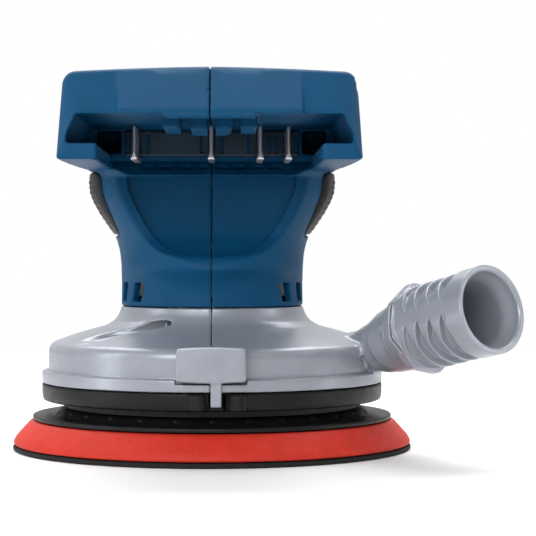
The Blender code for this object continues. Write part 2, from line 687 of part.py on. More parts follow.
def rounded_section(centre, across, up, half_width, half_height, power, count=24):
    """A ring between a circle, power 2, and a rounded rectangle, power 5."""
    ring = []
    for i in range(count):
        angle = 2 * math.pi * (i + 0.5) / count
        c, s = math.cos(angle), math.sin(angle)
        u = math.copysign(abs(c) ** (2 / power), c) * half_width
        v = math.copysign(abs(s) ** (2 / power), s) * half_height
        ring.append(centre + across * u + up * v)
    return ring


def duct_rings(inset, extra=0.0):
    """The duct from the shroud's wall to the round spigot, drawn in by inset."""
    axis = OUTLET_AXIS
    across = Vector((-axis.y, axis.x, 0.0)).normalized()
    rise = axis.cross(across)
    level = Vector((0.0, 0.0, 1.0))
    root_centre = Vector((0.0415, -0.0125, SHROUD_Z + 0.0096))
    root = rounded_section(root_centre - Vector((axis.x, axis.y, 0.0)) * extra, across, level,
                           0.0120 - inset, 0.0054 - inset, 5)
    mid = rounded_section(Vector((0.0490, -0.0215, SHROUD_Z + 0.0103)), across, level,
                          0.0118 - inset, 0.0064 - inset, 3.2)
    neck = rounded_section(outlet_frame(OUTLET_LENGTH + 0.002), across, rise,
                           OUTLET_RADIUS - 0.001 - inset, OUTLET_RADIUS - 0.001 - inset, 2.0)
    step = rounded_section(outlet_frame(OUTLET_LENGTH + FIT), across, rise,
                           OUTLET_RADIUS - 0.0006 - inset, OUTLET_RADIUS - 0.0006 - inset, 2.0)
    return [root, mid, neck, step]


def make_shroud():
    duct = loft("duct", duct_rings(0.0))
    spigot_end = OUTLET_LENGTH - SPIGOT_LENGTH
    spigot = rod("spigot", outlet_frame(OUTLET_LENGTH + 0.003), outlet_frame(spigot_end),
                 SPIGOT_RADIUS, steps=24)
    ways = [
        rod("fan_room", (0, 0, SHROUD_Z - 0.002), (0, 0, SHOULDER_Z - SHROUD_WALL - FIT),
            SHROUD_RADIUS - SHROUD_WALL - FIT, steps=ROUND_STEPS),
        loft("duct_channel", duct_rings(SHROUD_WALL, 0.008)[:3]),
        rod("spigot_bore", outlet_frame(OUTLET_LENGTH + 0.006), outlet_frame(spigot_end - 0.002),
            SPIGOT_RADIUS - SPIGOT_WALL, steps=24),
        box("clip_seat", (-CLIP_HALF - FIT, -0.1, CLIP_Z - FIT),
            (CLIP_HALF + FIT, -CLIP_BACK, CLIP_TOP_Z + FIT)),
    ]
    for n, y in enumerate(SHROUD_SCREW_Y, 1):
        head = Vector((SHROUD_HEAD_X, y, SHROUD_SCREW_Z))
        tip = head + Vector((SHROUD_SCREW_LENGTH, 0, 0))
        outside = Vector((-0.070, y, SHROUD_SCREW_Z))
        ways.append(rod(f"shroud_head_way_{n}", outside, head, 0.0032, steps=16))
        ways.append(rod(f"shroud_shank_way_{n}", outside, tip, SCREW_RADIUS + FIT, steps=12))
        make_cross_screw(f"shroud_screw_{n}", SHROUD_HEAD_X - FIT, y, SHROUD_SCREW_Z,
                         SHROUD_SCREW_LENGTH, -1)
    for side_name, side in SIDES:
        half = turned(f"shroud_{side_name}", shroud_profile(), GREY)
        if side > 0:
            join(half, duct, spigot)
        keep(half, half_space(f"shroud_{side_name}_space", side))
        cut(half, *ways)


SIDES = (("left", -1), ("right", 1))


def half_space(name, side):
    """A block that holds everything on one side of the seam, -1 for left and 1 for right."""
    reach = 0.2
    low, high = sorted((side * reach, side * SEAM / 2))
    return box(name, (low, -reach, -reach), (high, reach, reach))


def make_cross_screw(name, head_x, y, z, length, side):
    """A casing screw along X. Its head's underside is at head_x, on the side (-1 left, 1 right)."""
    head_out = head_x + side * 0.0020
    screw = turned(name, [
        (0.0, 0.0), (SCREW_RADIUS + 0.0011, 0.0), (SCREW_RADIUS + 0.0011, -0.0020),
        (SCREW_RADIUS, -0.0020), (SCREW_RADIUS, -length + 0.0014), (0.0006, -length), (0.0, -length),
    ], STEEL, steps=12)
    screw.location = (head_out, y, z)
    screw.rotation_euler = (0.0, side * math.pi / 2, 0.0)
    return screw


CLIP_HALF = 0.0101
CLIP_Z = SHROUD_Z + BAND_HEIGHT - 0.0010
CLIP_TOP_Z = SHOULDER_Z + 0.0029
CLIP_BACK = SHROUD_RADIUS - 0.0007
CLIP_FACE = BAND_RADIUS + 0.0024
TONGUE = (-0.0001, 0.0030)              # the tongue's two sides in x
SHROUD_SCREW_Z = WEB_Z + 0.0019
SHROUD_SCREW_Y = (-0.0260, 0.0260)
SHROUD_SCREW_LENGTH = 0.026
SHROUD_HEAD_X = -0.0120


def make_clip():
    clip = box("rear_clip", (-CLIP_HALF, -CLIP_FACE, CLIP_Z), (CLIP_HALF, -CLIP_BACK - FIT, CLIP_TOP_Z),
               GREY)
    bevel(clip, 0.0005)
    tongue = box("clip_tongue", (TONGUE[0], -CLIP_FACE + 0.0004, RING_Z + 0.0016),
                 (TONGUE[1], -BAND_RADIUS - FIT, CLIP_Z + 0.001))
    join(clip, tongue)


def make_base_ring():
    wall = BAND_RADIUS - 0.0026
    lip = SHROUD_RADIUS - SHROUD_WALL - FIT
    ring = turned("base_ring", [
        (BAND_RADIUS, RING_TOP_Z), (BAND_RADIUS, RING_Z + 0.0018), (BAND_RADIUS - 0.0005, RING_Z + 0.0006),
        (BAND_RADIUS - 0.0018, RING_Z), (RING_OPENING, RING_Z), (RING_OPENING, RING_Z + 0.0018),
        (lip - 0.0018, RING_Z + 0.0018), (lip - 0.0018, RING_TOP_Z + 0.0032),
        (lip, RING_TOP_Z + 0.0032), (lip, RING_TOP_Z),
    ], BLACK)
    pad = box("ring_block", (-0.0086, -BAND_RADIUS - 0.0013, RING_Z + 0.0004),
              (0.0086, -wall, RING_TOP_Z))
    slot = box("tongue_slot", (TONGUE[0] - 2 * FIT, -0.1, RING_Z - 0.002),
               (TONGUE[1] + 2 * FIT, -BAND_RADIUS + 0.0006, RING_TOP_Z + 0.002))
    join(ring, pad)
    cut(ring, slot)
    turned("brake_ring", tube_profile(RING_OPENING + 0.0018, RING_OPENING + 0.0056,
                                      DISC_TOP_Z + 0.0004, RING_Z - FIT), RUBBER)


def make_outlet(axis):
    """The ribbed hose adapter on the duct's spigot, drawn along its own axis with its mouth at z = 0."""
    depth = 0.0011
    groove = 0.0032
    outline = [(OUTLET_RADIUS - 0.0012, 0.0), (OUTLET_RADIUS - 0.0002, -0.0012)]
    first = -0.0075
    for n in range(4):
        top = first - n * 0.0060
        outline += [
            (OUTLET_RADIUS, top), (OUTLET_RADIUS - depth, top - 0.0008),
            (OUTLET_RADIUS - depth, top - groove + 0.0006), (OUTLET_RADIUS, top - groove),
        ]
    outline += [
        (OUTLET_RADIUS, -OUTLET_LENGTH + 0.0012), (OUTLET_RADIUS - 0.0008, -OUTLET_LENGTH),
        (SPIGOT_RADIUS + FIT, -OUTLET_LENGTH), (SPIGOT_RADIUS + FIT, -OUTLET_LENGTH + 0.0040),
        (OUTLET_BORE, -OUTLET_LENGTH + 0.0062), (OUTLET_BORE, 0.0),
    ]
    turned("dust_outlet", outline, GREY, axis, steps=24)
    seal_low = -OUTLET_LENGTH + 0.0080
    turned("outlet_seal", tube_profile(SPIGOT_RADIUS + 0.0002, OUTLET_BORE - 0.0002,
                                       seal_low, seal_low + 0.0020), RUBBER, axis, steps=SMALL_STEPS)


# ---------------------------------------------------------------- the blue housing
def oval(z, half_width, front, rear, count=ROUND_STEPS):
    ring = []
    for i in range(count):
        angle = 2 * math.pi * i / count
        depth = front if math.sin(angle) > 0 else rear
        ring.append((half_width * math.cos(angle), depth * math.sin(angle), z))
    return ring


def neck_loft(name, inset, with_grip=False, paint=None):
    """The neck's outside, or the grip's, drawn in by inset."""
    return loft(name, [
        oval(z, *(NECK_RADIUS + grown + (proud if with_grip else 0.0) - inset for grown in stand_out))
        for z, *stand_out, proud in NECK_STATIONS
    ], paint)


def recess_y(z):
    """The recess surface at a height, with the ledge's full depth below it."""
    curve = [(-(NECK_RADIUS + 0.0046), RECESS_RIM_Z)] + RECESS_CURVE
    if z <= RECESS_RIM_Z:
        return curve[0][0]
    for (y0, z0), (y1, z1) in zip(curve, curve[1:]):
        if z <= z1:
            return y0 + (y1 - y0) * (z - z0) / (z1 - z0)
    return curve[-1][0]


def neck_cavity():
    """The room inside the neck: the motor's bore below, and one deep wall inside the outer form above."""
    rings = [oval(HOUSING_Z - 0.004, MOTOR_BORE, MOTOR_BORE, MOTOR_BORE)]
    for z in (0.0600, 0.0620, 0.0650, 0.0700, 0.0760, 0.0820, 0.0910):
        grown = interpolate_neck(z)
        half_width = max(MOTOR_BORE, NECK_RADIUS + grown[0] - DEEP_WALL)
        front = max(MOTOR_BORE, NECK_RADIUS + grown[1] - DEEP_WALL)
        rear = min(MOTOR_BORE, -recess_y(z) - WALL)
        rings.append(oval(z, half_width, front, rear))
    return loft("neck_cavity", rings)


def interpolate_neck(z):
    for low, high in zip(NECK_STATIONS, NECK_STATIONS[1:]):
        if z <= high[0]:
            share = (z - low[0]) / (high[0] - low[0])
            return [a + (b - a) * share for a, b in zip(low[1:4], high[1:4])]
    return list(NECK_STATIONS[-1][1:4])


def palm_ring(y, half_width, bottom, top, top_round):
    """A rounded section across the palm, with a crowned roof."""
    height = top - bottom
    top_round = min(top_round, 0.42 * height, 0.42 * half_width)
    low_round = min(0.0022, 0.2 * height)
    ring = []

    def corner(cx, cz, radius, start, steps):
        for i in range(steps + 1):
            angle = start + math.pi / 2 * i / steps
            ring.append((cx + radius * math.cos(angle), cz + radius * math.sin(angle)))

    corner(half_width - low_round, bottom + low_round, low_round, -math.pi / 2, 2)
    corner(half_width - top_round, top - top_round, top_round, 0.0, 4)
    flat = half_width - top_round
    ring += [(flat * share, top) for share in (0.75, 0.5, 0.25, 0.0, -0.25, -0.5, -0.75)]
    corner(-half_width + top_round, top - top_round, top_round, math.pi / 2, 4)
    corner(-half_width + low_round, bottom + low_round, low_round, math.pi, 2)
    points = []
    for x, z in ring:
        drop = CROWN * (abs(x) / DECK_HALF) ** 1.6 * (z - bottom) / height
        points.append((x, y, z - drop))
    return points


def palm_loft(name, side_inset=0.0, top_inset=0.0, bottom_inset=0.0, first=None, last=None):
    """The palm and deck, drawn in, over all its stations or between two values of y."""
    stations = PALM_STATIONS
    if first is not None:
        stations = [palm_station(first)] + [s for s in stations if first < s[0] < last]
        stations.append(palm_station(last))
    return loft(name, [
        palm_ring(y, DECK_HALF - loss - side_inset, bottom + bottom_inset, top - top_inset, upper_round)
        for y, loss, bottom, top, upper_round in stations
    ])


def palm_station(y):
    for near, far in zip(PALM_STATIONS, PALM_STATIONS[1:]):
        if near[0] <= y <= far[0]:
            share = (y - near[0]) / (far[0] - near[0])
            return tuple(a + (b - a) * share for a, b in zip(near, far))
    return PALM_STATIONS[-1]


def port_cutters():
    """The battery's T-shaped way in: a wide slot over the rails, and the gap between them."""
    outside = DECK_REAR_Y - 0.02
    half_low = BATTERY_WIDTH / 2
    half_high = half_low - PORT_DRAFT
    slot = loft("port_slot", [
        [(half_low, y, RAIL_TOP_Z), (half_low, y, RAIL_TOP_Z + SLOT_FOOT), (half_high, y, CEILING_Z),
         (-half_high, y, CEILING_Z), (-half_low, y, RAIL_TOP_Z + SLOT_FOOT), (-half_low, y, RAIL_TOP_Z)]
        for y in (outside, PORT_BACK_Y)
    ])
    gap = prism_x("port_gap", [
        (outside, LIP_Z), (PORT_BACK_Y - 0.0045, LIP_Z), (PORT_BACK_Y, LIP_Z + 0.0046),
        (PORT_BACK_Y, RAIL_TOP_Z + 0.001), (outside, RAIL_TOP_Z + 0.001),
    ], RAIL_INNER)
    return slot, gap


def recess_cutter():
    outside = -0.070
    rim = -(NECK_RADIUS + 0.0048)
    outline = [(outside, RECESS_RIM_Z), (rim, RECESS_RIM_Z)] + RECESS_CURVE + [(outside, LIP_Z)]
    return prism_x("battery_recess", outline, 0.060)


def rear_face_cutters():
    """The slanted face of the roof, and the two slanted corners beside it."""
    lean = math.radians(40)
    roof = box("roof_slant", (-0.1, -0.08, 0.0), (0.1, 0.0, 0.08))
    roof.location = (0.0, DECK_REAR_Y, ROOF_Z)
    roof.rotation_euler = (-lean, 0.0, 0.0)
    corners = []
    for side in (-1, 1):
        corner = box(f"corner_slant_{side}", (0.0, -0.06, -0.06), (0.05, 0.06, 0.06))
        if side < 0:
            corner = box("corner_slant_left", (-0.05, -0.06, -0.06), (0.0, 0.06, 0.06))
        corner.location = (side * (DECK_HALF - 0.0050), DECK_REAR_Y, ROOF_Z)
        corner.rotation_euler = (0.0, side * math.radians(-17), side * math.radians(-30))
        corners.append(corner)
    return [roof, *corners]


def vent_cutters():
    """Four slanted slots on each side of the waist."""
    cutters = []
    for side in (-1, 1):
        for n, degrees in enumerate((53, 72, 91, 110)):
            vent = box(f"vent_{n}_{side}", (-0.0024, -0.006, -0.0029), (0.0024, 0.006, 0.0029))
            angle = math.radians(-90 + side * degrees)
            vent.location = (NECK_RADIUS * math.cos(angle), NECK_RADIUS * math.sin(angle), 0.0492)
            vent.rotation_euler = (0.0, side * math.radians(-20), angle + math.pi / 2)
            cutters.append(vent)
    return cutters


def lip_slots():
    """The row of eight small slots in the lip under the port."""
    pitch = 0.0055
    return [
        box(f"lip_slot_{n}", ((n - 3.5) * pitch - 0.0014, PORT_BACK_Y - 0.005, LIP_Z + 0.0027),
            ((n - 3.5) * pitch + 0.0014, PORT_BACK_Y - 0.0006, LIP_Z + 0.0036))
        for n in range(8)
    ]


HEAD_WAY_RADIUS = 0.0041
HEAD_X = 0.0248
HOUSING_SCREWS = [(-0.0780, 0.1066), (-0.0480, 0.1060), (0.0240, 0.1035)]
SWITCH_Z = 0.1014
WHEEL_Z = 0.0914
WHEEL_Y = PALM_NOSE_Y + 0.0014 - WHEEL_RADIUS
ROCKER_PIVOT = Vector((0.0, PALM_NOSE_Y - 0.0030, SWITCH_Z))


def grip_region(name, grow):
    """The band of the neck that the rubber covers, up to the deck's underside."""
    top = DECK_BOTTOM_Z - FIT + 1.4 * grow
    return box(name, (-0.06, -0.0120 - grow, 0.0666 - grow), (0.06, 0.07, top))


def palm_pad_region(name, grow, paint=None):
    return loft(name, [
        [(x, y, z) for x, y in (
            ((0.0240 + grow) * math.cos(a), 0.0010 + (0.0310 + grow) * math.sin(a))
            for a in (2 * math.pi * i / 40 for i in range(40))
        )]
        for z in (PALM_TOP_Z - 0.0140, PALM_TOP_Z + 0.0120)
    ], paint)


def screw_ways():
    """Each housing screw's way in from the right, with its screw in place."""
    for n, (y, z) in enumerate(HOUSING_SCREWS, 1):
        head_x = HEAD_X if y < 0 else HEAD_X - 0.0068
        yield rod(f"head_way_{n}", (head_x, y, z), (0.060, y, z), HEAD_WAY_RADIUS, steps=16)
        yield rod(f"shank_way_{n}", (0.006 - head_x, y, z), (head_x + 0.002, y, z),
                  SCREW_RADIUS + FIT, steps=12)
        make_cross_screw(f"housing_screw_{n}", head_x + FIT, y, z, 2 * head_x - 0.004, 1)


def control_ways():
    half_x, _, half_z = (size / 2 for size in ROCKER_SIZE)
    return [
        box("rocker_way", (-half_x - 0.0005, ROCKER_PIVOT.y - 0.0040, SWITCH_Z - half_z - 0.0008),
            (half_x + 0.0005, 0.060, SWITCH_Z + half_z + 0.0008)),
        rod("wheel_way", (0, WHEEL_Y, WHEEL_Z - WHEEL_THICKNESS / 2 - FIT),
            (0, WHEEL_Y, WHEEL_Z + WHEEL_THICKNESS / 2 + FIT), WHEEL_RADIUS + 2 * FIT),
        box("block_way", (-BLOCK_HALF - FIT, PORT_BACK_Y - 0.01, BLOCK_Z - FIT),
            (BLOCK_HALF + FIT, PORT_BACK_Y + 0.01, BLOCK_TOP_Z + FIT)),
    ]


def make_housing():
    palm = palm_loft("palm_outside")
    rooms = [
        neck_cavity(),
        palm_loft("palm_room", DECK_WALL, DEEP_WALL + 0.0002, WALL,
                  PORT_BACK_Y + WALL, PALM_NOSE_Y - WALL),
        palm_loft("roof_room", 0.0055, DEEP_WALL + 0.0002, ROOF_FLOOR_Z - DECK_BOTTOM_Z,
                  DECK_REAR_Y + 0.0150, PORT_BACK_Y + WALL + 0.003),
    ]
    # The rearmost screw sits in the solid end of the roof and needs no boss.
    bosses = [
        rod(f"boss_{n}", (-0.031, y, z), (0.031, y, z), HEAD_WAY_RADIUS + 0.0013, steps=16)
        for n, (y, z) in enumerate(HOUSING_SCREWS[1:])
    ]
    slot, gap = port_cutters()
    cut(slot, *[
        box(f"ceiling_tab_{n}", (x - 0.0022, -0.0800, CEILING_Z - 0.0028),
            (x + 0.0022, -0.0500, CEILING_Z + 0.0010))
        for n, x in enumerate((-0.0107, -0.0031, 0.0037, 0.0107))
    ])
    ways = [slot, gap, recess_cutter(), *rear_face_cutters(), *vent_cutters(), *lip_slots(),
            *screw_ways(), *control_ways()]
    pocket = keep(neck_loft("grip_pocket", -0.001, with_grip=True),
                  grip_region("grip_pocket_region", FIT))
    cut(pocket, neck_loft("grip_pocket_core", GRIP_THICKNESS + FIT))
    pad_pocket = cut(palm_pad_region("palm_pad_pocket", FIT),
                     palm_loft("palm_pad_pocket_core", GRIP_THICKNESS + FIT, GRIP_THICKNESS + FIT))
    for side_name, side in SIDES:
        half = neck_loft(f"housing_{side_name}", 0.0, paint=BLUE)
        join(half, palm)
        cut(half, *rooms)
        join(half, *bosses)
        keep(half, half_space(f"housing_{side_name}_space", side))
        cut(half, *ways, pocket, pad_pocket)


def make_grips():
    core = neck_loft("grip_core", GRIP_THICKNESS)
    region = grip_region("grip_region", 0.0)
    for side_name, side in SIDES:
        grip = neck_loft(f"side_grip_{side_name}", 0.0, with_grip=True, paint=RUBBER)
        keep(grip, half_space(f"side_grip_{side_name}_space", side), region)
        cut(grip, core)
    pad = palm_pad_region("palm_pad", 0.0, RUBBER)
    keep(pad, palm_loft("palm_pad_outside"))
    cut(pad, palm_loft("palm_pad_core", GRIP_THICKNESS, GRIP_THICKNESS))


# ---------------------------------------------------------------- port, electronics and controls
BLOCK_HALF = 0.0265
BLOCK_Z = RAIL_TOP_Z - 0.0005
BLOCK_TOP_Z = CEILING_Z - 0.0004
BLADE_TOP_Z = CEILING_Z - FIT
BLADE_Z = RAIL_TOP_Z - 0.0025
BOARD_Z = 0.0800


def make_port_contacts():
    block = box("terminal_block", (-BLOCK_HALF, PORT_BACK_Y - 0.0006, BLOCK_Z),
                (BLOCK_HALF, PORT_BACK_Y + 0.009, BLOCK_TOP_Z), BLACK)
    for n, x in enumerate(BLADE_X, 1):
        half = BLADE_THICKNESS / 2
        inner = PORT_BACK_Y + 0.0115
        blade = box(f"contact_blade_{n}", (x - half, PORT_BACK_Y - 0.0250, BLADE_Z),
                    (x + half, PORT_BACK_Y - 0.0009, BLADE_TOP_Z), TIN)
        tail = box(f"blade_tail_{n}", (x - half, PORT_BACK_Y - 0.0015, BLOCK_Z + 0.002),
                   (x + half, inner, BLOCK_TOP_Z - 0.002))
        foot = loft(f"blade_foot_{n}", [
            [(x - w, y, z), (x + w, y, z), (x + half * 0.9, y, z + 0.0024), (x - half * 0.9, y, z + 0.0024)]
            for y, z, w in ((PORT_BACK_Y - 0.0250, BLADE_Z, 0.0010), (PORT_BACK_Y - 0.0009, BLADE_Z, 0.0010))
        ])
        join(blade, tail, foot)
        cut(block, box(f"blade_way_{n}", (x - half - FIT, PORT_BACK_Y - 0.02, BLOCK_Z + 0.002 - FIT),
                       (x + half + FIT, PORT_BACK_Y + 0.02, BLOCK_TOP_Z - 0.002 + FIT)))


def make_electronics():
    board = box("control_board", (-0.0220, -0.0115, BOARD_Z), (0.0220, 0.0220, BOARD_Z + 0.0016), BOARD)
    bevel(board, 0.0004)
    sink = box("heat_sink", (-0.020, -0.0090, BOARD_Z + 0.0019), (0.020, 0.0080, BOARD_Z + 0.0052), ALUMINIUM)
    for n in range(6):
        x = -0.0165 + 0.0066 * n
        join(sink, box(f"sink_fin_{n}", (x - 0.0006, -0.0080, BOARD_Z + 0.0045),
                       (x + 0.0006, 0.0070, BOARD_Z + 0.0080)))
    for n, x in enumerate((-0.0165, 0.0015), 1):
        rod(f"capacitor_{n}", (x, 0.0160, BOARD_Z + 0.0072), (x + 0.0150, 0.0160, BOARD_Z + 0.0072), 0.0050,
            BLACK, steps=18)
    half_x, _, half_z = (size / 2 for size in ROCKER_SIZE)
    back = ROCKER_PIVOT.y - 0.0022
    box("switch_body", (-half_x, back - 0.0100, SWITCH_Z - half_z), (half_x, back, SWITCH_Z + half_z),
        BLACK)
    pot_low = WHEEL_Z + WHEEL_THICKNESS / 2 + 2 * FIT
    pot = box("speed_potentiometer", (-0.005, WHEEL_Y - 0.0055, pot_low),
              (0.005, WHEEL_Y + 0.0020, pot_low + 0.0020), BLACK)
    join(pot, rod("pot_pin", (0, WHEEL_Y, WHEEL_Z - 0.0020), (0, WHEEL_Y, pot_low + 0.0010), 0.0018,
                  steps=12))


def make_controls(rocker_axis, wheel_axis):
    half_x, depth, half_z = ROCKER_SIZE[0] / 2, ROCKER_SIZE[1], ROCKER_SIZE[2] / 2
    outline = [
        (-0.0012, 0.0), (0.0004, -half_z), (depth - 0.0006, -half_z), (depth - 0.0012, 0.0),
        (depth - 0.0006, half_z), (0.0004, half_z),
    ]
    rocker = loft("switch_rocker", [[(x, y, z) for y, z in outline] for x in (-half_x, half_x)],
                  BLACK, rocker_axis)
    rocker.rotation_euler = (math.radians(ROCKER_REST_DEG), 0.0, 0.0)
    half = WHEEL_THICKNESS / 2
    wheel = turned("speed_wheel", [
        (WHEEL_RADIUS - 0.0006, half), (WHEEL_RADIUS, half - 0.0006), (WHEEL_RADIUS, -half + 0.0006),
        (WHEEL_RADIUS - 0.0006, -half), (0.0021, -half), (0.0021, half),
    ], BLACK, wheel_axis)
    for n, _, x, y in around(12, WHEEL_RADIUS + 0.0002):
        cut(wheel, rod(f"wheel_groove_{n}", (x, y, -half - 0.001), (x, y, half + 0.001), 0.0006,
                       parent=wheel_axis, steps=6))


def make_leads():
    """Battery leads from the contacts to the board, and the motor's three phase leads."""
    blade_end = PORT_BACK_Y + 0.0115 + FIT
    for name, paint, x, side in (
        ("battery_lead_positive", RED_WIRE, BLADE_X[0], -1),
        ("battery_lead_negative", BLACK_WIRE, BLADE_X[3], 1),
    ):
        z = (BLOCK_Z + BLOCK_TOP_Z) / 2
        wire(name, [(x, blade_end, z), (x, blade_end + 0.004, z), (x, blade_end + 0.0065, z - 0.004),
                    (x, blade_end + 0.0062, BOARD_Z + 0.0019)], 0.0009, paint)
    for n, degrees in enumerate((0, 90, 180), 1):
        angle = math.radians(degrees)
        c, s = math.cos(angle), math.sin(angle)
        low, bend, high = STATOR_RADIUS - 0.0023, STATOR_RADIUS - 0.0015, 0.0218
        wire(f"phase_lead_{n}", [
            (low * c, low * s, STATOR_TOP_Z + FIT), (low * c, low * s, STATOR_TOP_Z + 0.006),
            (bend * c, bend * s, STATOR_TOP_Z + 0.012), (high * c, high * s, BOARD_Z - FIT),
        ], 0.0009, YELLOW_WIRE)


# ---------------------------------------------------------------- the assembly
def main():
    clear_scene()
    spindle_axis = axis_empty("spindle_axis", (0.0, 0.0, 0.0))
    pad_axis = axis_empty("pad_axis", (0.0, ORBIT_OFFSET, 0.0))
    outlet_axis = axis_empty("outlet_axis", OUTLET_MOUTH, OUTLET_AXIS)
    wheel_axis = axis_empty("wheel_axis", (0.0, WHEEL_Y, WHEEL_Z))
    rocker_axis = axis_empty("rocker_axis", ROCKER_PIVOT)

    make_pad(pad_axis)
    make_carrier(pad_axis)
    make_bearing("pad_bearing", PAD_BEARING, PAD_BEARING_Z, pad_axis)
    make_fan(spindle_axis)
    make_motor(spindle_axis)
    make_stator()
    make_bearing_seats()
    make_base_ring()
    make_shroud()
    make_clip()
    make_outlet(outlet_axis)
    make_housing()
    make_grips()
    make_port_contacts()
    make_electronics()
    make_controls(rocker_axis, wheel_axis)
    make_leads()


main()
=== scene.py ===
"""The looks of a cordless random orbital sander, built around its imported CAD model.

The moulded shells are made from signed-distance fields in millimetres: each field is a plain function
of x, y and z that is negative inside the piece. A field is sampled on a grid, its zero surface is
meshed, and each vertex is then settled onto the surface and given the surface's own normal.
"""

import json
import math

import bpy
import numpy as np
import openvdb
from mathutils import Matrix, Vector


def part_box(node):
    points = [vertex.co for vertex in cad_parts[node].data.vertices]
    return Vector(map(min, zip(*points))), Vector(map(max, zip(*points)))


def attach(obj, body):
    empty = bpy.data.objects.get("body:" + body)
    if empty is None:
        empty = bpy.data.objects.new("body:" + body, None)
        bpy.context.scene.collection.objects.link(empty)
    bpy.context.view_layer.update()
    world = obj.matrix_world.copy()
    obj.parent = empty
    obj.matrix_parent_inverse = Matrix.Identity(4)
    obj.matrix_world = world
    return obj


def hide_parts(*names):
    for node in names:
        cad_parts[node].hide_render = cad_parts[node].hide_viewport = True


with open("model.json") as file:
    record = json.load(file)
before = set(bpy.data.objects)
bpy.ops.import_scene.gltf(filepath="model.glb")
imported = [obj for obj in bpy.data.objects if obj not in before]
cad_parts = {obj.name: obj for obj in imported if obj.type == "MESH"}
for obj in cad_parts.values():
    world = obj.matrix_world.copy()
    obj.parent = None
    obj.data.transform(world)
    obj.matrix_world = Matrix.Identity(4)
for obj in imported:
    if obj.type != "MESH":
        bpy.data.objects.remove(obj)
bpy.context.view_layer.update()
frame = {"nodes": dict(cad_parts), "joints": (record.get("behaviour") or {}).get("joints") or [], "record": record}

MM = 0.001
DETAIL = 1.0     # grid steps grow by this while things are being tried


# ---------------------------------------------------------------- places, read from the CAD model
def corners(*nodes):
    """The lowest and highest corner of some CAD nodes, in millimetres."""
    boxes = [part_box(node) for node in nodes]
    low = [min(box[0][i] for box in boxes) / MM for i in range(3)]
    high = [max(box[1][i] for box in boxes) / MM for i in range(3)]
    return low, high


HOUSING_LOW, HOUSING_HIGH = corners("housing_left", "housing_right")
SHROUD_LOW, SHROUD_HIGH = corners("shroud_left")
RING_LOW, RING_HIGH = corners("base_ring")
CLIP_LOW, CLIP_HIGH = corners("rear_clip")
BLOCK_LOW, BLOCK_HIGH = corners("terminal_block")
STATOR_HIGH = corners("stator_core")[1]
FOAM_LOW, FOAM_HIGH = corners("pad_foam")
HOOK_LOW, HOOK_HIGH = corners("pad_hook_face")
PLATE_LOW, PLATE_HIGH = corners("pad_backing_plate")
PALM_PAD_LOW, PALM_PAD_HIGH = corners("palm_pad")
WHEEL_LOW, WHEEL_HIGH = corners("speed_wheel")
ROCKER_LOW, ROCKER_HIGH = corners("switch_rocker")

SEAM = 0.12                             # half of the gap between two moulded halves
WAIST = STATOR_HIGH[0] + 3.9            # the neck's radius round the motor
DECK_HALF = HOUSING_HIGH[0]
DECK_REAR = HOUSING_LOW[1]
NOSE = HOUSING_HIGH[1]
PALM_TOP = PALM_PAD_HIGH[2]
NECK_FOOT = HOUSING_LOW[2]
DECK_FLOOR = PALM_TOP - 31.3
RAIL_TOP = DECK_FLOOR + 4.3
PORT_BACK = BLOCK_LOW[1] + 0.6
CEILING = RAIL_TOP + 8.0
LIP = DECK_FLOOR - 2.3
SLOT_HALF = DECK_HALF - 2.7
RAIL_INNER = SLOT_HALF - 8.1
PAD_CENTRE_Y = (FOAM_LOW[1] + FOAM_HIGH[1]) / 2


# ---------------------------------------------------------------- fields
def curve(at, knots, values):
    """A smooth curve through the values at the knots, held level past the two ends."""
    knots = np.asarray(knots, np.float64)
    values = np.asarray(values, np.float64)
    slopes = np.gradient(values, knots)
    at = np.clip(at, knots[0], knots[-1])
    i = np.clip(np.searchsorted(knots, at) - 1, 0, len(knots) - 2)
    span = knots[i + 1] - knots[i]
    t = (at - knots[i]) / span
    a = values[i] * (1 + 2 * t) * (1 - t) ** 2 + values[i + 1] * t * t * (3 - 2 * t)
    b = slopes[i] * t * (1 - t) ** 2 - slopes[i + 1] * t * t * (1 - t)
    return (a + b * span).astype(np.float32)


def ramp(at, start, end):
    """0 before start, 1 after end, and smooth between them."""
    t = np.clip((at - start) / (end - start), 0.0, 1.0)
    return t * t * (3 - 2 * t)


def union(a, b, blend):
    gap = np.maximum(blend - np.abs(a - b), 0.0) / blend
    return np.minimum(a, b) - gap * gap * blend / 4


def overlap(a, b, blend):
    return -union(-a, -b, blend)


def minus(a, b, blend):
    return overlap(a, -b, blend)


def box2(u, v, half_u, half_v, radius):
    """A rectangle about the origin with rounded corners."""
    du = np.abs(u) - half_u + radius
    dv = np.abs(v) - half_v + radius
    return np.hypot(np.maximum(du, 0), np.maximum(dv, 0)) + np.minimum(np.maximum(du, dv), 0) - radius


def box3(x, y, z, low, high, radius):
    """A box between two corners with rounded edges."""
    out = []
    for at, a, b in zip((x, y, z), low, high):
        out.append(np.abs(at - (a + b) / 2) - (b - a) / 2 + radius)
    far = np.sqrt(sum(np.maximum(d, 0) ** 2 for d in out))
    return far + np.minimum(np.maximum(np.maximum(out[0], out[1]), out[2]), 0) - radius


def between(at, low, high):
    """Negative between two values, and the distance outside them."""
    return np.abs(at - (low + high) / 2) - (high - low) / 2


def plane(x, y, z, point, normal):
    """Negative behind the plane, positive on the side that the normal points to."""
    return (x - point[0]) * normal[0] + (y - point[1]) * normal[1] + (z - point[2]) * normal[2]


def gradient(field, points, reach=0.02):
    """The field's value and slope at each point."""
    value = field(points[:, 0], points[:, 1], points[:, 2])
    slope = np.empty_like(points)
    for i in range(3):
        ahead, behind = points.copy(), points.copy()
        ahead[:, i] += reach
        behind[:, i] -= reach
        slope[:, i] = (field(*ahead.T) - field(*behind.T)) / (2 * reach)
    return value, slope


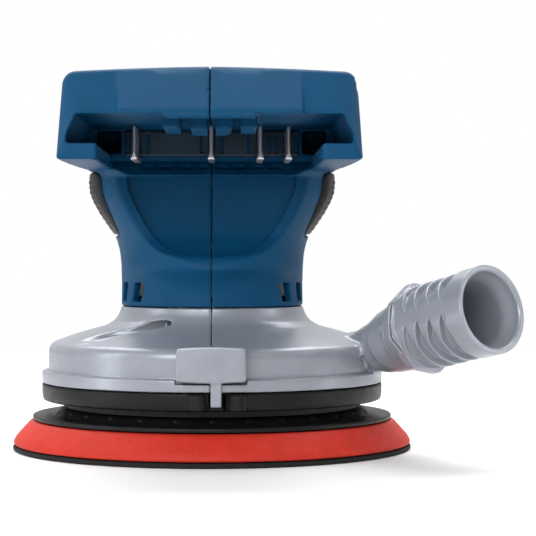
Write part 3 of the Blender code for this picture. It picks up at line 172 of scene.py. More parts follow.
def mesh_of(field, low, high, step, flatness=0.01):
    """Points, faces and normals of the field's zero surface between two corners, in millimetres."""
    step = step * DETAIL
    margin = 2.5 * step
    sides = [np.arange(a - margin, b + margin + step, step) for a, b in zip(low, high)]
    x, y, z = np.meshgrid(*sides, indexing="ij", sparse=True)
    values = field(x.astype(np.float32), y.astype(np.float32), z.astype(np.float32))
    values = np.ascontiguousarray(np.clip(values, -3 * step, 3 * step), np.float32)
    grid = openvdb.FloatGrid(3 * step)
    grid.copyFromArray(values)
    grid.gridClass = openvdb.GridClass.LEVEL_SET
    points, triangles, quads = grid.convertToPolygons(isovalue=0.0, adaptivity=flatness)
    points = points.astype(np.float64) * step + np.array([side[0] for side in sides])
    for _ in range(3):
        value, slope = gradient(field, points)
        steep = np.maximum((slope ** 2).sum(1), 0.05)
        move = slope * (value / steep)[:, None]
        length = np.maximum(np.linalg.norm(move, axis=1), 1e-9)
        points -= move * np.minimum(1.0, 0.35 * step / length)[:, None]
    _, slope = gradient(field, points)
    normals = slope / np.maximum(np.linalg.norm(slope, axis=1), 1e-9)[:, None]
    faces = [face[::-1] for face in triangles.tolist()] + [face[::-1] for face in quads.tolist()]
    return points, faces, normals


def shell(name, field, low, high, step, paint, body, nodes=(), frame_of=None, flatness=0.01):
    """A piece made from a field. frame_of takes its points from the field's own frame to the row's."""
    points, faces, normals = mesh_of(field, low, high, step, flatness)
    if frame_of is not None:
        origin, axes = frame_of
        points = points @ axes + origin
        normals = normals @ axes
    mesh = bpy.data.meshes.new(name)
    mesh.from_pydata((points * MM).tolist(), [], faces)
    mesh.validate()
    mesh.shade_smooth()
    if len(mesh.vertices) == len(normals):
        mesh.normals_split_custom_set_from_vertices(normals.tolist())
    made = bpy.data.objects.new(name, mesh)
    bpy.context.scene.collection.objects.link(made)
    made.data.materials.append(paint)
    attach(made, body)
    if nodes:
        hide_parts(*nodes)


# ---------------------------------------------------------------- materials
def node_material(name):
    made = bpy.data.materials.new(name)
    made.use_nodes = True
    nodes, links = made.node_tree.nodes, made.node_tree.links
    return made, nodes, links, nodes["Principled BSDF"]


def noise(nodes, links, size_mm, detail=2.0, stretch=None):
    """A noise texture whose features are about size_mm across, in the object's own coordinates."""
    place = nodes.new("ShaderNodeTexCoord")
    texture = nodes.new("ShaderNodeTexNoise")
    texture.inputs["Scale"].default_value = 1.0 / (size_mm * MM)
    texture.inputs["Detail"].default_value = detail
    source = place.outputs["Object"]
    if stretch is not None:
        mapping = nodes.new("ShaderNodeMapping")
        mapping.inputs["Scale"].default_value = stretch
        links.new(source, mapping.inputs["Vector"])
        source = mapping.outputs["Vector"]
    links.new(source, texture.inputs["Vector"])
    return texture.outputs["Fac"]


def spread(nodes, links, source, low, high, out_low, out_high):
    """source stretched from low..high to out_low..out_high."""
    mapped = nodes.new("ShaderNodeMapRange")
    mapped.inputs["From Min"].default_value = low
    mapped.inputs["From Max"].default_value = high
    mapped.inputs["To Min"].default_value = out_low
    mapped.inputs["To Max"].default_value = out_high
    links.new(source, mapped.inputs["Value"])
    return mapped.outputs["Result"]


def tinted(nodes, links, source, dark, light):
    """A colour between two, by a noise value around one half."""
    blend = nodes.new("ShaderNodeValToRGB")
    blend.color_ramp.elements[0].position = 0.3
    blend.color_ramp.elements[0].color = (*dark, 1.0)
    blend.color_ramp.elements[1].position = 0.7
    blend.color_ramp.elements[1].color = (*light, 1.0)
    links.new(source, blend.inputs["Fac"])
    return blend.outputs["Color"]


def bumped(nodes, links, shader, source, depth_mm, strength=1.0):
    bump = nodes.new("ShaderNodeBump")
    bump.inputs["Strength"].default_value = strength
    bump.inputs["Distance"].default_value = depth_mm * MM
    links.new(source, bump.inputs["Height"])
    links.new(bump.outputs["Normal"], shader.inputs["Normal"])


def moulded(name, colour, roughness, grain_mm=0.35, grain_depth=0.02, mottle=0.06, metallic=0.0,
            specular=0.5, grain_stretch=None):
    """Moulded plastic, rubber or plain metal: a fine grain, with colour and gloss that vary slightly."""
    made, nodes, links, shader = node_material(name)
    dark = tuple(c * (1 - mottle) for c in colour)
    light = tuple(min(1.0, c * (1 + mottle)) for c in colour)
    links.new(tinted(nodes, links, noise(nodes, links, 9.0, 3.0), dark, light),
              shader.inputs["Base Color"])
    gloss = spread(nodes, links, noise(nodes, links, 3.5, 4.0), 0.3, 0.7,
                   roughness - 0.05, roughness + 0.05)
    links.new(gloss, shader.inputs["Roughness"])
    shader.inputs["Metallic"].default_value = metallic
    shader.inputs["Specular IOR Level"].default_value = specular
    bumped(nodes, links, shader, noise(nodes, links, grain_mm, 3.0, grain_stretch), grain_depth)
    return made


def foam(name, colour):
    """Closed-cell foam: fine round pores that show in the surface, and in the colour as painted shade that darkens
    them; the colour also varies at random.
    """
    made, nodes, links, shader = node_material(name)
    place = nodes.new("ShaderNodeTexCoord")
    cells = nodes.new("ShaderNodeTexVoronoi")
    cells.inputs["Scale"].default_value = 1.0 / (0.8 * MM)
    links.new(place.outputs["Object"], cells.inputs["Vector"])
    pores = spread(nodes, links, cells.outputs["Distance"], 0.0, 0.45, 0.0, 1.0)
    pore_shade_and_tone = nodes.new("ShaderNodeMath")
    pore_shade_and_tone.operation = "MULTIPLY"
    links.new(pores, pore_shade_and_tone.inputs[0])
    links.new(noise(nodes, links, 5.0, 3.0), pore_shade_and_tone.inputs[1])
    # The pores' darker colour is painted shade in their hollows; the noise adds random tone.
    dark = tuple(c * 0.82 for c in colour)
    links.new(tinted(nodes, links, pore_shade_and_tone.outputs["Value"], dark, colour), shader.inputs["Base Color"])
    links.new(spread(nodes, links, pores, 0.0, 1.0, 0.72, 0.58), shader.inputs["Roughness"])
    shader.inputs["Specular IOR Level"].default_value = 0.3
    bumped(nodes, links, shader, pores, 0.03)
    return made


def looped(name, colour):
    """Hook fabric: short dark stems in rows, with painted shade that darkens the colour between them."""
    made, nodes, links, shader = node_material(name)
    place = nodes.new("ShaderNodeTexCoord")
    stems = nodes.new("ShaderNodeTexVoronoi")
    stems.inputs["Scale"].default_value = 1.0 / (1.1 * MM)
    stems.inputs["Randomness"].default_value = 0.25
    links.new(place.outputs["Object"], stems.inputs["Vector"])
    height = spread(nodes, links, stems.outputs["Distance"], 0.0, 0.5, 1.0, 0.0)
    # Darker colour between the stems is painted shade at their feet.
    links.new(tinted(nodes, links, height, tuple(c * 0.5 for c in colour), colour),
              shader.inputs["Base Color"])
    links.new(spread(nodes, links, height, 0.0, 1.0, 0.95, 0.75), shader.inputs["Roughness"])
    bumped(nodes, links, shader, height, 0.25)
    return made


def laminated(name, colour):
    """A stack of sheets along Z: fine level lines in colour and surface."""
    made, nodes, links, shader = node_material(name)
    place = nodes.new("ShaderNodeTexCoord")
    lines = nodes.new("ShaderNodeTexWave")
    lines.bands_direction = "Z"
    lines.inputs["Scale"].default_value = 0.31 / (0.5 * MM)
    links.new(place.outputs["Object"], lines.inputs["Vector"])
    links.new(tinted(nodes, links, lines.outputs["Fac"], tuple(c * 0.6 for c in colour), colour),
              shader.inputs["Base Color"])
    links.new(spread(nodes, links, noise(nodes, links, 2.0), 0.3, 0.7, 0.35, 0.5),
              shader.inputs["Roughness"])
    shader.inputs["Metallic"].default_value = 0.9
    bumped(nodes, links, shader, lines.outputs["Fac"], 0.05)
    return made


def circuit(name, colour):
    """A solder-masked board: faint blocks of copper under the mask."""
    made, nodes, links, shader = node_material(name)
    place = nodes.new("ShaderNodeTexCoord")
    tracks = nodes.new("ShaderNodeTexBrick")
    tracks.inputs["Scale"].default_value = 1.0 / (6.0 * MM)
    tracks.inputs["Color1"].default_value = (*colour, 1.0)
    tracks.inputs["Color2"].default_value = (*(c * 1.4 for c in colour), 1.0)
    tracks.inputs["Mortar"].default_value = (*(c * 0.6 for c in colour), 1.0)
    links.new(place.outputs["Object"], tracks.inputs["Vector"])
    links.new(tracks.outputs["Color"], shader.inputs["Base Color"])
    links.new(spread(nodes, links, noise(nodes, links, 1.5), 0.3, 0.7, 0.3, 0.4),
              shader.inputs["Roughness"])
    bumped(nodes, links, shader, tracks.outputs["Fac"], 0.03)
    return made


PAINT = {
    "blue_plastic": moulded("blue_plastic", (0.002, 0.058, 0.138), 0.50, 0.45, 0.018, 0.05,
                            specular=0.12),
    "grey_plastic": moulded("grey_plastic", (0.30, 0.32, 0.365), 0.33, 0.5, 0.006, 0.05, metallic=0.3),
    "black_rubber": moulded("black_rubber", (0.012, 0.0125, 0.014), 0.62, 0.5, 0.03, 0.15),
    "black_plastic": moulded("black_plastic", (0.006, 0.0062, 0.007), 0.42, 0.4, 0.015, 0.12,
                             specular=0.22),
    "red_foam": foam("red_foam", (0.58, 0.026, 0.012)),
    "hook_fabric": looped("hook_fabric", (0.012, 0.012, 0.012)),
    "steel": moulded("steel", (0.56, 0.57, 0.58), 0.28, 0.25, 0.006, 0.05, metallic=1.0),
    "aluminium": moulded("aluminium", (0.66, 0.67, 0.69), 0.36, 0.3, 0.01, 0.05, metallic=1.0,
                         grain_stretch=(1.0, 1.0, 8.0)),
    "lamination_steel": laminated("lamination_steel", (0.30, 0.31, 0.33)),
    "magnet": moulded("magnet", (0.16, 0.16, 0.18), 0.30, 0.3, 0.004, 0.08, metallic=0.8),
    "copper": moulded("copper", (0.62, 0.24, 0.10), 0.3, 0.5, 0.05, 0.15, metallic=0.9,
                      grain_stretch=(1.0, 1.0, 6.0)),
    "tinned_contact": moulded("tinned_contact", (0.62, 0.60, 0.62), 0.32, 0.3, 0.006, 0.06,
                              metallic=0.85, grain_stretch=(1.0, 4.0, 1.0)),
    "circuit_board": circuit("circuit_board", (0.012, 0.14, 0.06)),
    "red_wire": moulded("red_wire", (0.5, 0.012, 0.012), 0.35, 0.4, 0.006, 0.06),
    "black_wire": moulded("black_wire", (0.014, 0.014, 0.015), 0.38, 0.4, 0.006, 0.1),
    "yellow_wire": moulded("yellow_wire", (0.62, 0.42, 0.02), 0.35, 0.4, 0.006, 0.06),
}
# A darker copy of the housing blue for the terminal block: painted shade, for the block sits deep in the battery
# port.
PORT_SHADE_BLUE = moulded("blue_plastic_port_shade", (0.004, 0.022, 0.042), 0.5, 0.45, 0.018, 0.08)


def paint_cad_nodes():
    for subpart in frame["record"]["subparts"]:
        node = frame["nodes"].get(subpart["node"])
        node.data.materials.clear()
        node.data.materials.append(PAINT[subpart["material_slot"]])
        node.data.shade_smooth()


# ---------------------------------------------------------------- camera, floor and light
CAMERA_PLACE = (0.0045, -0.620, 0.064)  # behind the machine, level with its neck
CAMERA_LENS, CAMERA_SENSOR = 132.3, 36.0
CAMERA_AIM = (0.021015, 1.0, -0.012183) # a touch to the right and down from the +Y axis


def add_camera():
    data = bpy.data.cameras.new("camera")
    data.sensor_width = CAMERA_SENSOR
    data.lens = CAMERA_LENS
    data.clip_end = 10.0
    made = bpy.data.objects.new("camera", data)
    bpy.context.scene.collection.objects.link(made)
    made.location = CAMERA_PLACE
    made.rotation_euler = Vector(CAMERA_AIM).to_track_quat("-Z", "Y").to_euler()
    bpy.context.scene.camera = made


def add_floor():
    """A pale round floor that fades into the white room toward its edge."""
    reach, steps = 1.4, 96
    mesh = bpy.data.meshes.new("floor")
    turns = [2 * math.pi * i / steps for i in range(steps)]
    rim = [(reach * math.cos(t), reach * math.sin(t), 0.0) for t in turns]
    mesh.from_pydata(rim, [], [tuple(range(steps))])
    floor = bpy.data.objects.new("floor", mesh)
    bpy.context.scene.collection.objects.link(floor)
    paint, nodes, links, shader = node_material("floor")
    links.new(tinted(nodes, links, noise(nodes, links, 300.0), (0.85, 0.85, 0.85), (0.88, 0.88, 0.88)),
              shader.inputs["Base Color"])
    shader.inputs["Roughness"].default_value = 0.9
    shader.inputs["Specular IOR Level"].default_value = 0.1
    place = nodes.new("ShaderNodeTexCoord")
    far = nodes.new("ShaderNodeVectorMath")
    far.operation = "LENGTH"
    links.new(place.outputs["Object"], far.inputs[0])
    clear = nodes.new("ShaderNodeBsdfTransparent")
    blend = nodes.new("ShaderNodeMixShader")
    links.new(spread(nodes, links, far.outputs["Value"], 0.22, 0.6, 0.0, 1.0), blend.inputs["Fac"])
    links.new(shader.outputs["BSDF"], blend.inputs[1])
    links.new(clear.outputs["BSDF"], blend.inputs[2])
    links.new(blend.outputs["Shader"], nodes["Material Output"].inputs["Surface"])
    mesh.materials.append(paint)


def add_softbox(name, location, target, size, watts):
    data = bpy.data.lights.new(name, "AREA")
    data.shape = "RECTANGLE"
    data.size, data.size_y = size
    data.energy = watts
    made = bpy.data.objects.new(name, data)
    bpy.context.scene.collection.objects.link(made)
    made.location = location
    made.rotation_euler = (Vector(target) - Vector(location)).to_track_quat("-Z", "Y").to_euler()


def add_light():
    """A pale room: white to look at, dimmer toward the horizon as a light, and four softboxes."""
    world = bpy.data.worlds.new("studio")
    bpy.context.scene.world = world
    world.use_nodes = True
    nodes, links = world.node_tree.nodes, world.node_tree.links
    place = nodes.new("ShaderNodeTexCoord")
    split = nodes.new("ShaderNodeSeparateXYZ")
    links.new(place.outputs["Generated"], split.inputs["Vector"])
    level = nodes.new("ShaderNodeMath")
    level.operation = "ADD"
    links.new(spread(nodes, links, split.outputs["Z"], 0.0, 0.9, 0.10, 0.55), level.inputs[0])
    links.new(spread(nodes, links, split.outputs["Y"], 0.1, 0.8, 0.0, 0.55), level.inputs[1])
    path = nodes.new("ShaderNodeLightPath")
    seen = nodes.new("ShaderNodeMix")
    links.new(path.outputs["Is Camera Ray"], seen.inputs["Factor"])
    links.new(level.outputs["Value"], seen.inputs["A"])
    seen.inputs["B"].default_value = 1.0
    links.new(seen.outputs["Result"], nodes["Background"].inputs["Strength"])
    nodes["Background"].inputs["Color"].default_value = (1.0, 1.0, 1.0, 1.0)
    middle = (0.0, 0.0, 0.05)
    add_softbox("top_light", (0.0, 0.42, 0.95), middle, (1.2, 0.8), 15.0)
    add_softbox("front_light", (-0.3, -1.1, 0.5), middle, (0.9, 0.5), 10.0)
    add_softbox("left_light", (-0.9, -0.26, 0.25), middle, (0.16, 0.7), 2.6)
    add_softbox("right_light", (0.92, -0.12, 0.30), middle, (0.16, 0.7), 1.6)
    bpy.context.scene.view_settings.view_transform = "Standard"


# ---------------------------------------------------------------- the blue housing
# The palm along y: what its half-width and its top lose, and the radius of its upper edges.
PALM_Y = (-93, -82, -60, -40, -20, 0, 15, 28, 38, 44, 47)
PALM_LOSS = (0, 0, 0.3, 1.0, 2.0, 3.2, 5.0, 9.5, 16.0, 20.5, 24.0)
PALM_DROP = (6.2, 5.6, 4.4, 2.6, 1.0, 0, 0.7, 2.4, 4.6, 6.6, 8.6)
PALM_EDGE = (3.6, 3.6, 3.8, 4.8, 6.4, 8.5, 10, 10, 9, 8, 7)
PALM_CROWN = (1.6, 1.6, 2.0, 2.8, 3.6, 4.2, 4.4, 4.6, 4.6, 4.6, 4.6)
DRAFT = 0.8

# The neck along z: how far its sides, front and rear stand out of the waist, and the grip out of them.
NECK_Z = (44.9, 50, 53.5, 56.6, 60, 65, 69, 74, 79.4, 86, 92)
NECK_SIDE = (0, 0, 0, 0.1, 0.3, 1.4, 3.2, 5.6, 7.8, 8.4, 8.4)
NECK_FRONT = (0, 0, 0.2, 0.8, 1.8, 3.9, 6.1, 9.1, 11.6, 13.1, 13.1)
NECK_REAR = (0, 0.2, 1.8, 4.6, 4.9, 4.6, 4.6, 4.6, 4.6, 4.6, 4.6)
GRIP_PROUD = (0, 0, 0, 0, 0, 0, 0.6, 1.5, 1.9, 1.8, 1.8)

# The battery recess along z: where its face lies in y, and how much deeper its floor lies.
RECESS_Z = (50, 56.6, 60.1, 62, 65, 70, 76, LIP)
RECESS_Y = (-37.0, -33.0, -30.8, -27.6, -24.6, -22.6, -21.2, -20.0)
RECESS_FLOOR = (0.3, 0.3, 0.5, 0.8, 1.2, 1.6, 1.8, 1.9)
RIM_WIDTH = 2.8

SCREWS = ((-78.0, 106.6), (-48.0, 106.0), (24.0, 103.5))
HEAD_SEATS = (24.8, 24.8, 18.0)
HEAD_WAY, SHANK_WAY = 3.2, 2.1
VENT_ANGLES = (53, 72, 91, 110)
VENT_Z = 49.2


def palm_section(x, y, z):
    half = DECK_HALF - curve(y, PALM_Y, PALM_LOSS)
    top = PALM_TOP - curve(y, PALM_Y, PALM_DROP)
    height = top - DECK_FLOOR
    share = (z - DECK_FLOOR) / height
    lifted = z + curve(y, PALM_Y, PALM_CROWN) * (np.abs(x) / DECK_HALF) ** 1.6 * share
    above = lifted - (top + DECK_FLOOR) / 2
    edge = np.where(above > 0, curve(y, PALM_Y, PALM_EDGE), 0.9)
    return box2(x, above, half - DRAFT * share, height / 2, edge)


def neck_section(x, y, z):
    side = WAIST + curve(z, NECK_Z, NECK_SIDE)
    front = WAIST + curve(z, NECK_Z, NECK_FRONT)
    rear = WAIST + curve(z, NECK_Z, NECK_REAR)
    deep = np.where(y > 0, front, rear)
    across = np.hypot(x / side, y / deep)
    steep = np.hypot(x / side ** 2, y / deep ** 2)
    return across * (across - 1) / np.maximum(steep, 1e-6)


def recess(x, y, z):
    """The rim face of the battery recess, and its floor inside the rim."""
    face = y - curve(z, RECESS_Z, RECESS_Y)
    outer = overlap(face, z - LIP, 0.4)
    floor = face - curve(z, RECESS_Z, RECESS_FLOOR)
    inner = overlap(floor, neck_section(x, y, z) + RIM_WIDTH, 0.8)
    inner = overlap(inner, z - LIP, 0.4)
    return union(outer, overlap(inner, 58.6 - z, 0.6), 0.7)


def port(x, y, z):
    """The battery's way in: a slot over the rails, and the gap between the rails."""
    side = np.abs(x)
    half = SLOT_HALF - 2.2 * ramp(z, RAIL_TOP + 1.5, CEILING)
    slot = overlap(side - half, between(z, RAIL_TOP, CEILING), 0.9)
    strip = box3(x, y, z, (-12.4, DECK_REAR - 5, CEILING - 1.0), (12.4, DECK_REAR + 8, CEILING + 2), 0.3)
    slot = minus(slot, strip, 0.4)
    for centre, hang in ((-10.7, 3.2), (-3.1, 3.8), (3.7, 3.8), (10.7, 3.2)):
        tab = box3(x, y, z, (centre - 2.2, -82.0, CEILING - hang),
                   (centre + 2.2, -50.0, CEILING + 2), 0.3)
        slot = minus(slot, tab, 0.5)
    slot = overlap(slot, y - PORT_BACK, 0.8)
    back = PORT_BACK - 4.5 * (1 - np.clip((z - LIP) / 4.6, 0, 1))
    gap = overlap(side - RAIL_INNER, (y - back) * 0.72, 0.8)
    gap = overlap(gap, between(z, LIP, RAIL_TOP) - 1.2, 0.5)
    way = union(slot, gap, 0.5)
    for start in (-86, -70, -54, -38):
        notch = box3(side, y, z, (RAIL_INNER - 2, start, DECK_FLOOR + 0.9),
                     (RAIL_INNER + 1.8, start + 8, RAIL_TOP - 1.0), 0.4)
        way = union(way, notch, 0.4)
    side_room = box3(side, y, z, (27.6, PORT_BACK - 3, RAIL_TOP + 0.6),
                     (35.0, PORT_BACK + 12, CEILING - 0.6), 0.8)
    return union(way, side_room, 0.5)


def rear_slants(x, y, z):
    """How far a point lies outside the slanted roof face, its two side panels, and the cut corners."""
    lean = math.radians(40)
    roof = plane(x, y, z, (0, DECK_REAR, CEILING + 0.3), (0, -math.cos(lean), math.sin(lean)))
    step = 1.7 * np.clip(1 - (z - CEILING) / 13.5, 0, 1)
    roof = roof + step * ramp(np.abs(x), 24.5, 25.9)
    corner = plane(np.abs(x), y, z, (DECK_HALF - 5.0, DECK_REAR, CEILING + 0.3), (0.828, -0.478, 0.292))
    return overlap(roof, corner, 2.6)


def head_ways(x, y, z, side):
    """The screws' ways in from the right: a wide one for each head, a narrow one for its shank."""
    out = None
    for (cy, cz), seat in zip(SCREWS, HEAD_SEATS):
        ring = np.hypot(y - cy, z - cz)
        way = overlap(ring - SHANK_WAY, 6.0 - seat - x, 0.1)
        if side > 0:
            way = union(way, overlap(ring - HEAD_WAY, seat - x, 0.4), 0.1)
        out = way if out is None else np.minimum(out, way)
    return out


def bosses(x, y, z):
    out = None
    for cy, cz in SCREWS[1:]:
        boss = overlap(np.hypot(y - cy, z - cz) - 5.4, np.abs(x) - 31.0, 0.5)
        out = boss if out is None else np.minimum(out, boss)
    return out


def vents(x, y, z):
    out = None
    for degrees in VENT_ANGLES:
        angle = math.radians(degrees)
        across = np.abs(x) * math.cos(angle) + y * math.sin(angle)
        out_along = np.abs(x) * math.sin(angle) - y * math.cos(angle)
        leaned = across + (z - VENT_Z) * math.tan(math.radians(20))
        slot = box2(leaned, z - VENT_Z, 2.3, 2.9, 0.6)
        slot = overlap(slot, WAIST - 7 - out_along, 0.3)
        out = slot if out is None else np.minimum(out, slot)
    return out


def lip_slots(x, y, z):
    pitch = 5.5
    nearest = np.clip(np.round(x / pitch - 0.5), -4, 3) + 0.5
    return box3(x - nearest * pitch, y, z, (-1.7, PORT_BACK - 8, LIP + 2.6),
                (1.7, PORT_BACK - 1.0, LIP + 3.5), 0.35)


GRIP_LOW, GRIP_TOP, GRIP_REAR = 66.6, DECK_FLOOR - 0.3, -12.0
GRIP_DEPTH = 1.0


def grip_zone(x, y, z, grow):
    return overlap(GRIP_REAR - grow - y, between(z, GRIP_LOW, GRIP_TOP) - grow, 2.5)


def palm_pad_zone(x, y, z, grow):
    centre = (PALM_PAD_LOW[1] + PALM_PAD_HIGH[1]) / 2
    half_x = PALM_PAD_HIGH[0]
    half_y = PALM_PAD_HIGH[1] - centre
    across = np.hypot(x / half_x, (y - centre) / half_y)
    steep = np.hypot(x / half_x ** 2, (y - centre) / half_y ** 2)
    ellipse = across * (across - 1) / np.maximum(steep, 1e-3) - grow
    return overlap(ellipse, 100.0 - z, 0.5)


def control_ways(x, y, z):
    rocker = box3(x, y, z, (ROCKER_LOW[0] - 0.5, NOSE - 11, ROCKER_LOW[2] - 0.7),
                  (ROCKER_HIGH[0] + 0.5, NOSE + 13, ROCKER_HIGH[2] + 0.7), 0.8)
    cy = (WHEEL_LOW[1] + WHEEL_HIGH[1]) / 2
    wheel = overlap(np.hypot(x, y - cy) - WHEEL_HIGH[0] - 0.6,
                    between(z, WHEEL_LOW[2], WHEEL_HIGH[2]) - 0.4, 0.4)
    return union(rocker, wheel, 0.3)


def housing_solid(x, y, z):
    palm = overlap(palm_section(x, y, z), y - NOSE, 8.0)
    palm = overlap(palm, DECK_REAR - y, 0.7)
    palm = overlap(palm, rear_slants(x, y, z), 0.9)
    neck = overlap(neck_section(x, y, z), z - RAIL_TOP, 1.0)
    body = union(palm, neck, 3.5)
    body = minus(body, recess(x, y, z), 0.8)
    return minus(body, port(x, y, z), 0.6)


def housing(side):
    def field(x, y, z):
        solid = housing_solid(x, y, z)
        wall = 2.5 + 1.3 * ramp(z, 59, 66)
        body = union(minus(solid, solid + wall, 0.6), overlap(bosses(x, y, z), solid, 0.5), 0.6)
        body = minus(body, vents(x, y, z), 0.5)
        body = minus(body, lip_slots(x, y, z), 0.3)
        neck = neck_section(x, y, z)
        body = minus(body, overlap(grip_zone(x, y, z, 0.15), -(neck + GRIP_DEPTH), 0.5), 0.5)
        palm = palm_section(x, y, z)
        body = minus(body, overlap(palm_pad_zone(x, y, z, 0.15), -(palm + GRIP_DEPTH), 0.5), 0.5)
        body = minus(body, control_ways(x, y, z), 0.5)
        body = minus(body, head_ways(x, y, z, side), 0.6)
        body = overlap(body, NECK_FOOT - z, 0.4)
        return overlap(body, SEAM - side * x, 0.45)
    return field


def side_grip(side):
    def field(x, y, z):
        neck = neck_section(x, y, z)
        proud = curve(z, NECK_Z, GRIP_PROUD)
        turn = np.arctan2(x, -y) * WAIST
        dots = 0.22 * np.cos(turn * 2 * math.pi / 3.2) * np.cos(z * 2 * math.pi / 3.2)
        dots = dots * ramp(-grip_zone(x, y, z, 0.0), 1.2, 2.4)
        skin = overlap(neck - proud + 0.12 + dots, -(neck + GRIP_DEPTH - 0.1), 0.6)
        grip = overlap(skin, grip_zone(x, y, z, -0.1), 1.3)
        return overlap(grip, SEAM - side * x, 0.5)
    return field


def palm_pad(x, y, z):
    palm = palm_section(x, y, z)
    ribs = 0.2 * np.cos(y * 2 * math.pi / 3.4) * ramp(-palm_pad_zone(x, y, z, 0.0), 2.5, 4.0)
    skin = overlap(palm + 0.12 + ribs, -(palm + GRIP_DEPTH - 0.1), 0.4)
    return overlap(skin, palm_pad_zone(x, y, z, -0.1), 0.8)


def make_housing():
    for name, side in (("left", -1), ("right", 1)):
        low, high = corners(f"housing_{name}")
        shell(f"housing_{name}_shell", housing(side), low, high, 0.5, PAINT["blue_plastic"], "casing",
              [f"housing_{name}"])
        low, high = corners(f"side_grip_{name}")
        shell(f"side_grip_{name}_skin", side_grip(side), low, high, 0.4, PAINT["black_rubber"], "casing",
              [f"side_grip_{name}"])
    shell("palm_pad_skin", palm_pad, PALM_PAD_LOW, PALM_PAD_HIGH, 0.5, PAINT["black_rubber"], "casing",
          ["palm_pad"])


# ---------------------------------------------------------------- the grey shroud and its duct
SHROUD_RADIUS = -SHROUD_LOW[0] - 2.1
BAND_RADIUS = -SHROUD_LOW[0]
SHROUD_FOOT, SHROUD_TOP = SHROUD_LOW[2], SHROUD_HIGH[2]
BAND_TOP = SHROUD_FOOT + 3.6
CONE_R = (27.6, 28.4, 29.1, 30.0, 32.3, 36.8, 41.8, 46.3, 49.5, 52.5, 56.0)
CONE_Z = (48.6, 44.6, 42.57, 41.04, 39.14, 37.61, 36.22, 34.69, 33.49, 32.2, 30.6)
SHROUD_WALL = 2.3
SHROUD_SCREWS = (-26.0, 26.0)
SHROUD_SCREW_Z = 37.7
CLIP_FOOT = SHROUD_FOOT + 2.6

OUTLET = next(j for j in frame["joints"] if j["name"] == "outlet_twist")
OUTLET_MOUTH = np.array((80.2, -60.0, 45.4))
OUTLET_AXIS = np.array(OUTLET["axis"]) / np.linalg.norm(OUTLET["axis"])
OUTLET_ACROSS = np.array((-OUTLET_AXIS[1], OUTLET_AXIS[0], 0.0))
OUTLET_ACROSS = OUTLET_ACROSS / np.linalg.norm(OUTLET_ACROSS)
OUTLET_RISE = np.cross(OUTLET_AXIS, OUTLET_ACROSS)
OUTLET_RADIUS, OUTLET_BORE, OUTLET_LENGTH = 13.05, 11.1, 34.0
SPIGOT_RADIUS, SPIGOT_LENGTH = 10.0, 11.0

# The duct's sections: centre, half-width, half-height and corner radius.
DUCT = (
    ((50.0, -6.0, 31.0), 9.6, 5.7, 4.2),
    ((54.0, -14.0, 32.4), 10.0, 7.1, 5.4),
    ((56.5, -22.0, 34.0), 10.4, 8.7, 7.6),
    ((57.9, -28.5, 35.7), 10.7, 9.9, 9.4),
    ((59.2, -34.0, 37.7), 11.0, 11.0, 10.9),
)


def duct(x, y, z):
    """A tube through the duct's sections, level across and square to its own line."""
    out = None
    for (c0, w0, h0, r0), (c1, w1, h1, r1) in zip(DUCT, DUCT[1:]):
        start = np.array(c0)
        run = np.array(c1) - start
        length = np.linalg.norm(run)
        ahead = run / length
        up = np.cross(ahead, OUTLET_ACROSS)
        up = up / np.linalg.norm(up)
        px, py, pz = x - start[0], y - start[1], z - start[2]
        along = px * ahead[0] + py * ahead[1] + pz * ahead[2]
        t = np.clip(along / length, 0, 1)
        u = px * OUTLET_ACROSS[0] + py * OUTLET_ACROSS[1]
        v = px * up[0] + py * up[1] + pz * up[2]
        section = box2(u, v, w0 + (w1 - w0) * t, h0 + (h1 - h0) * t, r0 + (r1 - r0) * t)
        past = along - t * length
        piece = np.hypot(np.maximum(section, 0), past) + np.minimum(section, 0)
        out = piece if out is None else union(out, piece, 2.0)
    return out


def from_mouth(x, y, z):
    """Across, up and along the outlet's axis from the centre of its mouth."""
    px, py, pz = x - OUTLET_MOUTH[0], y - OUTLET_MOUTH[1], z - OUTLET_MOUTH[2]
    return tuple(px * d[0] + py * d[1] + pz * d[2] for d in (OUTLET_ACROSS, OUTLET_RISE, OUTLET_AXIS))


def shroud_outside(ring, z):
    high = curve(ring, CONE_R, CONE_Z)
    slope = (curve(ring + 0.2, CONE_R, CONE_Z) - curve(ring - 0.2, CONE_R, CONE_Z)) / 0.4
    cone = (z - high) / np.sqrt(1 + slope ** 2)
    wall = overlap(ring - SHROUD_RADIUS, cone, 2.2)
    band = overlap(ring - BAND_RADIUS, z - BAND_TOP, 0.5)
    return union(wall, band, 0.5)


def duct_flange(x, y, z):
    """The raised tab with round lower corners that the duct grows out of."""
    turn = math.radians(-12.5)
    along = -x * math.sin(turn) + y * math.cos(turn)
    out = x * math.cos(turn) + y * math.sin(turn)
    tab = box2(along, z - 30.4, 8.4, 5.6, 3.0)
    return overlap(tab, np.abs(out - 47.5) - 4.6, 0.4)


